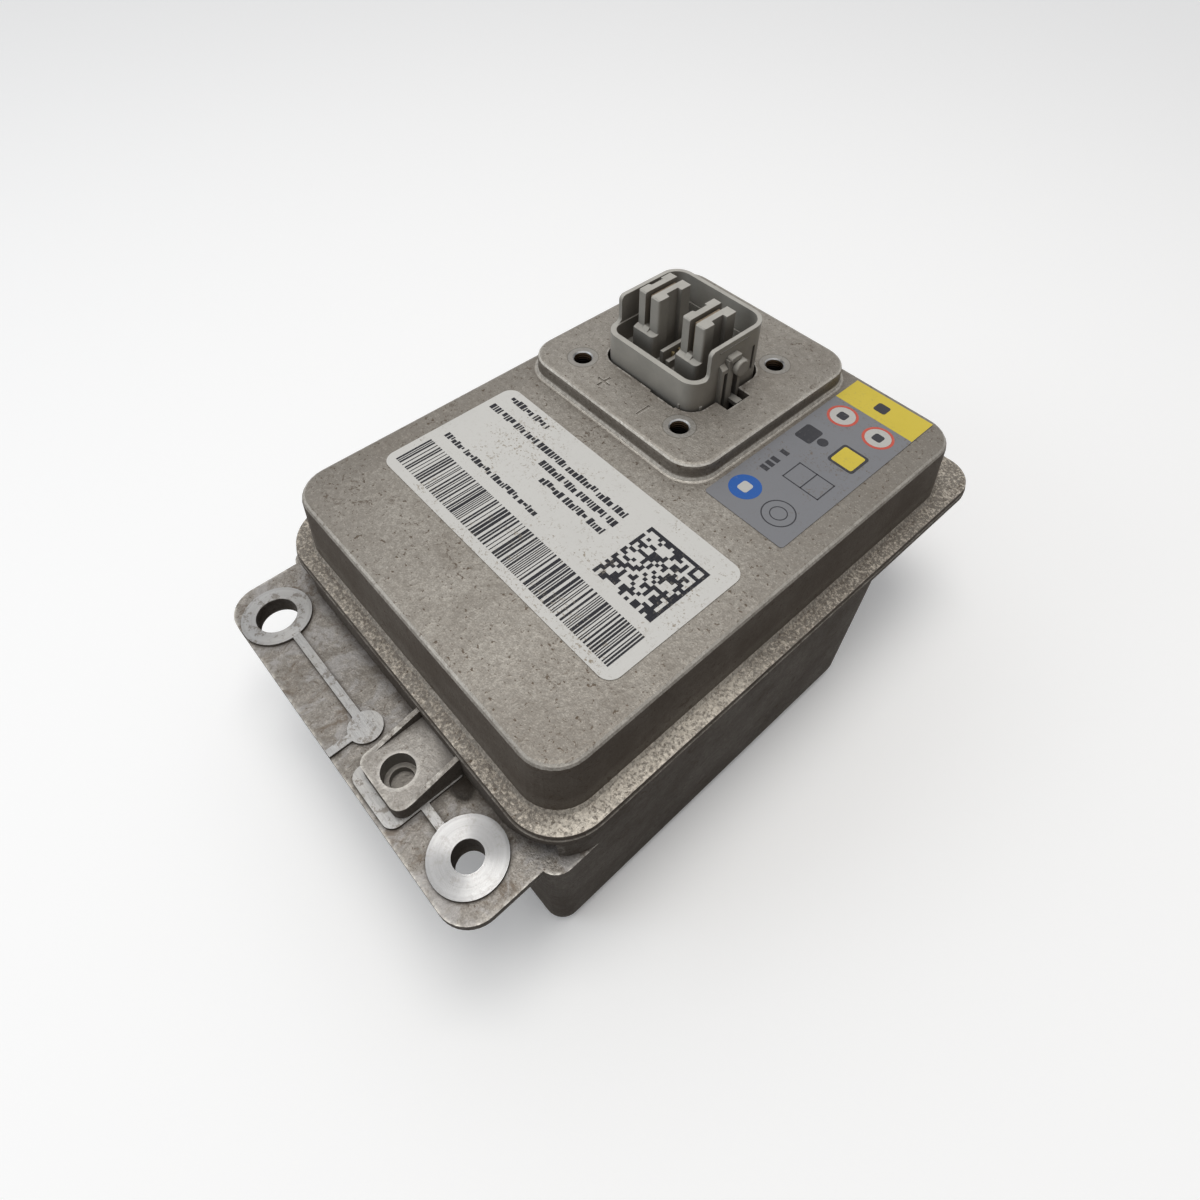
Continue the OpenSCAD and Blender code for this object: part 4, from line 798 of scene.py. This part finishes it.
def word_bars(x0, x1, y0, high):
    """A line of small plain blocks in groups, as long as a line of print."""
    bars = []
    x, left = x0, random.randint(4, 8)
    while x < x1 - 0.5:
        w = min(random.choice((0.55, 0.9, 1.15, 1.3)), x1 - x)
        low = y0 + random.choice((0.0, 0.0, 0.0, 0.55))
        bars.append(rect(x, x + w, low, y0 + high - random.choice((0.0, 0.0, 0.5))))
        left -= 1
        x += w + (0.32 if left else 1.0)
        left = left or random.randint(4, 9)
    return bars


def stripes(x0, x1, y0, y1):
    """Plain upright stripes of random widths, which encode nothing."""
    bars = []
    x = x0
    while x < x1 - 0.5:
        w = random.choice((0.28, 0.28, 0.34, 0.55, 0.62, 0.9))
        bars.append(rect(x, min(x + w, x1), y0, y1))
        x += w + random.choice((0.30, 0.30, 0.36, 0.6, 0.85))
    return bars


def mosaic(x0, y0, count):
    """A random square mosaic with two solid borders, which encodes nothing."""
    cells = []
    size = 1.02
    for j in range(count):
        for i in range(count):
            if i == count - 1 or j == count - 1 or random.random() < 0.46:
                cells.append(rect(x0 + i, x0 + i + size, y0 + j, y0 + j + size))
    return cells


def thin_frame(x0, x1, y0, y1, line):
    """A thin frame with a bar in its middle."""
    mid = x0 + 5.8
    return [
        rect(x0, x1, y0, y0 + line), rect(x0, x1, y1 - line, y1), rect(x0, x0 + line, y0, y1 - 0.05),
        rect(x1 - line, x1, y0, y1 - 0.05), rect(mid, mid + line, y0, y1 - 0.05)]


def white_print():
    """Five lines of plain blocks, a stripe field and a mosaic field."""
    lines = []
    for x0, x1, y0 in ((4.0, 20.5, 40.2), (2.4, 59.3, 34.1), (29.6, 59.3, 30.2), (34.5, 59.3, 26.3)):
        lines += word_bars(x0, x1, y0, 2.2)
    lines += word_bars(3.7, 43.5, 17.7, 1.9)
    printed("label_lines", INK, PAPER_LOW, lines)
    printed("label_stripes", INK, PAPER_LOW, stripes(2.6, 87.7, 2.9, 14.2))
    printed("label_mosaic", INK, PAPER_LOW, mosaic(65.75, 17.7, 20))


def grey_print():
    """A yellow field and plain coloured shapes."""
    printed("tag_yellow_band", YELLOW, TAG_LOW, [rect(0.05, 25.95, 56.0, 66.55)])
    printed("tag_band_mark", CHARCOAL, TAG_LOW, [rounded(10.4, 14.4, 59.4, 63.2, 0.8)], 1)
    for k, (x, y) in enumerate(((6.7, 50.4), (18.8, 50.3)), 1):
        spot = rounded(x - 1.5, x + 1.5, y - 1.5, y + 1.5, 0.7)
        printed(f"tag_red_ring_{k}", RED, TAG_LOW, ring(x, y, 4.5, 3.7))
        printed(f"tag_pale_disc_{k}", PALE, TAG_LOW, [disc(x, y, 3.72)])
        printed(f"tag_dark_spot_{k}", CHARCOAL, TAG_LOW, [spot], 1)
    block = rounded(2.1, 7.6, 34.0, 40.6, 0.9)
    printed("tag_dark_block", CHARCOAL, TAG_LOW, [block, disc(9.6, 37.4, 1.6)])
    printed("tag_yellow_frame", CHARCOAL, TAG_LOW, [rounded(14.0, 22.4, 33.2, 41.6, 1.0)])
    printed("tag_yellow_block", YELLOW, TAG_LOW, [rounded(14.8, 21.6, 34.0, 40.8, 0.6)], 1)
    bars = [rect(3.8, 6.4, y, y + 1.5) for y in (17.4, 19.6, 21.8, 25.8)]
    printed("tag_short_bars", CHARCOAL, TAG_LOW, bars)
    printed("tag_thin_frame", CHARCOAL, TAG_LOW, thin_frame(10.2, 22.0, 19.2, 26.75, 0.35))
    printed("tag_blue_disc", BLUE, TAG_LOW, [disc(6.3, 8.9, 4.45)])
    printed("tag_blue_mark", PALE, TAG_LOW, [rounded(4.7, 7.9, 7.1, 10.7, 0.8)], 1)
    printed("tag_thin_rings", CHARCOAL, TAG_LOW, ring(18.1, 8.3, 4.6, 4.25) + ring(18.1, 8.3, 2.4, 2.1))


white_print()
grey_print()
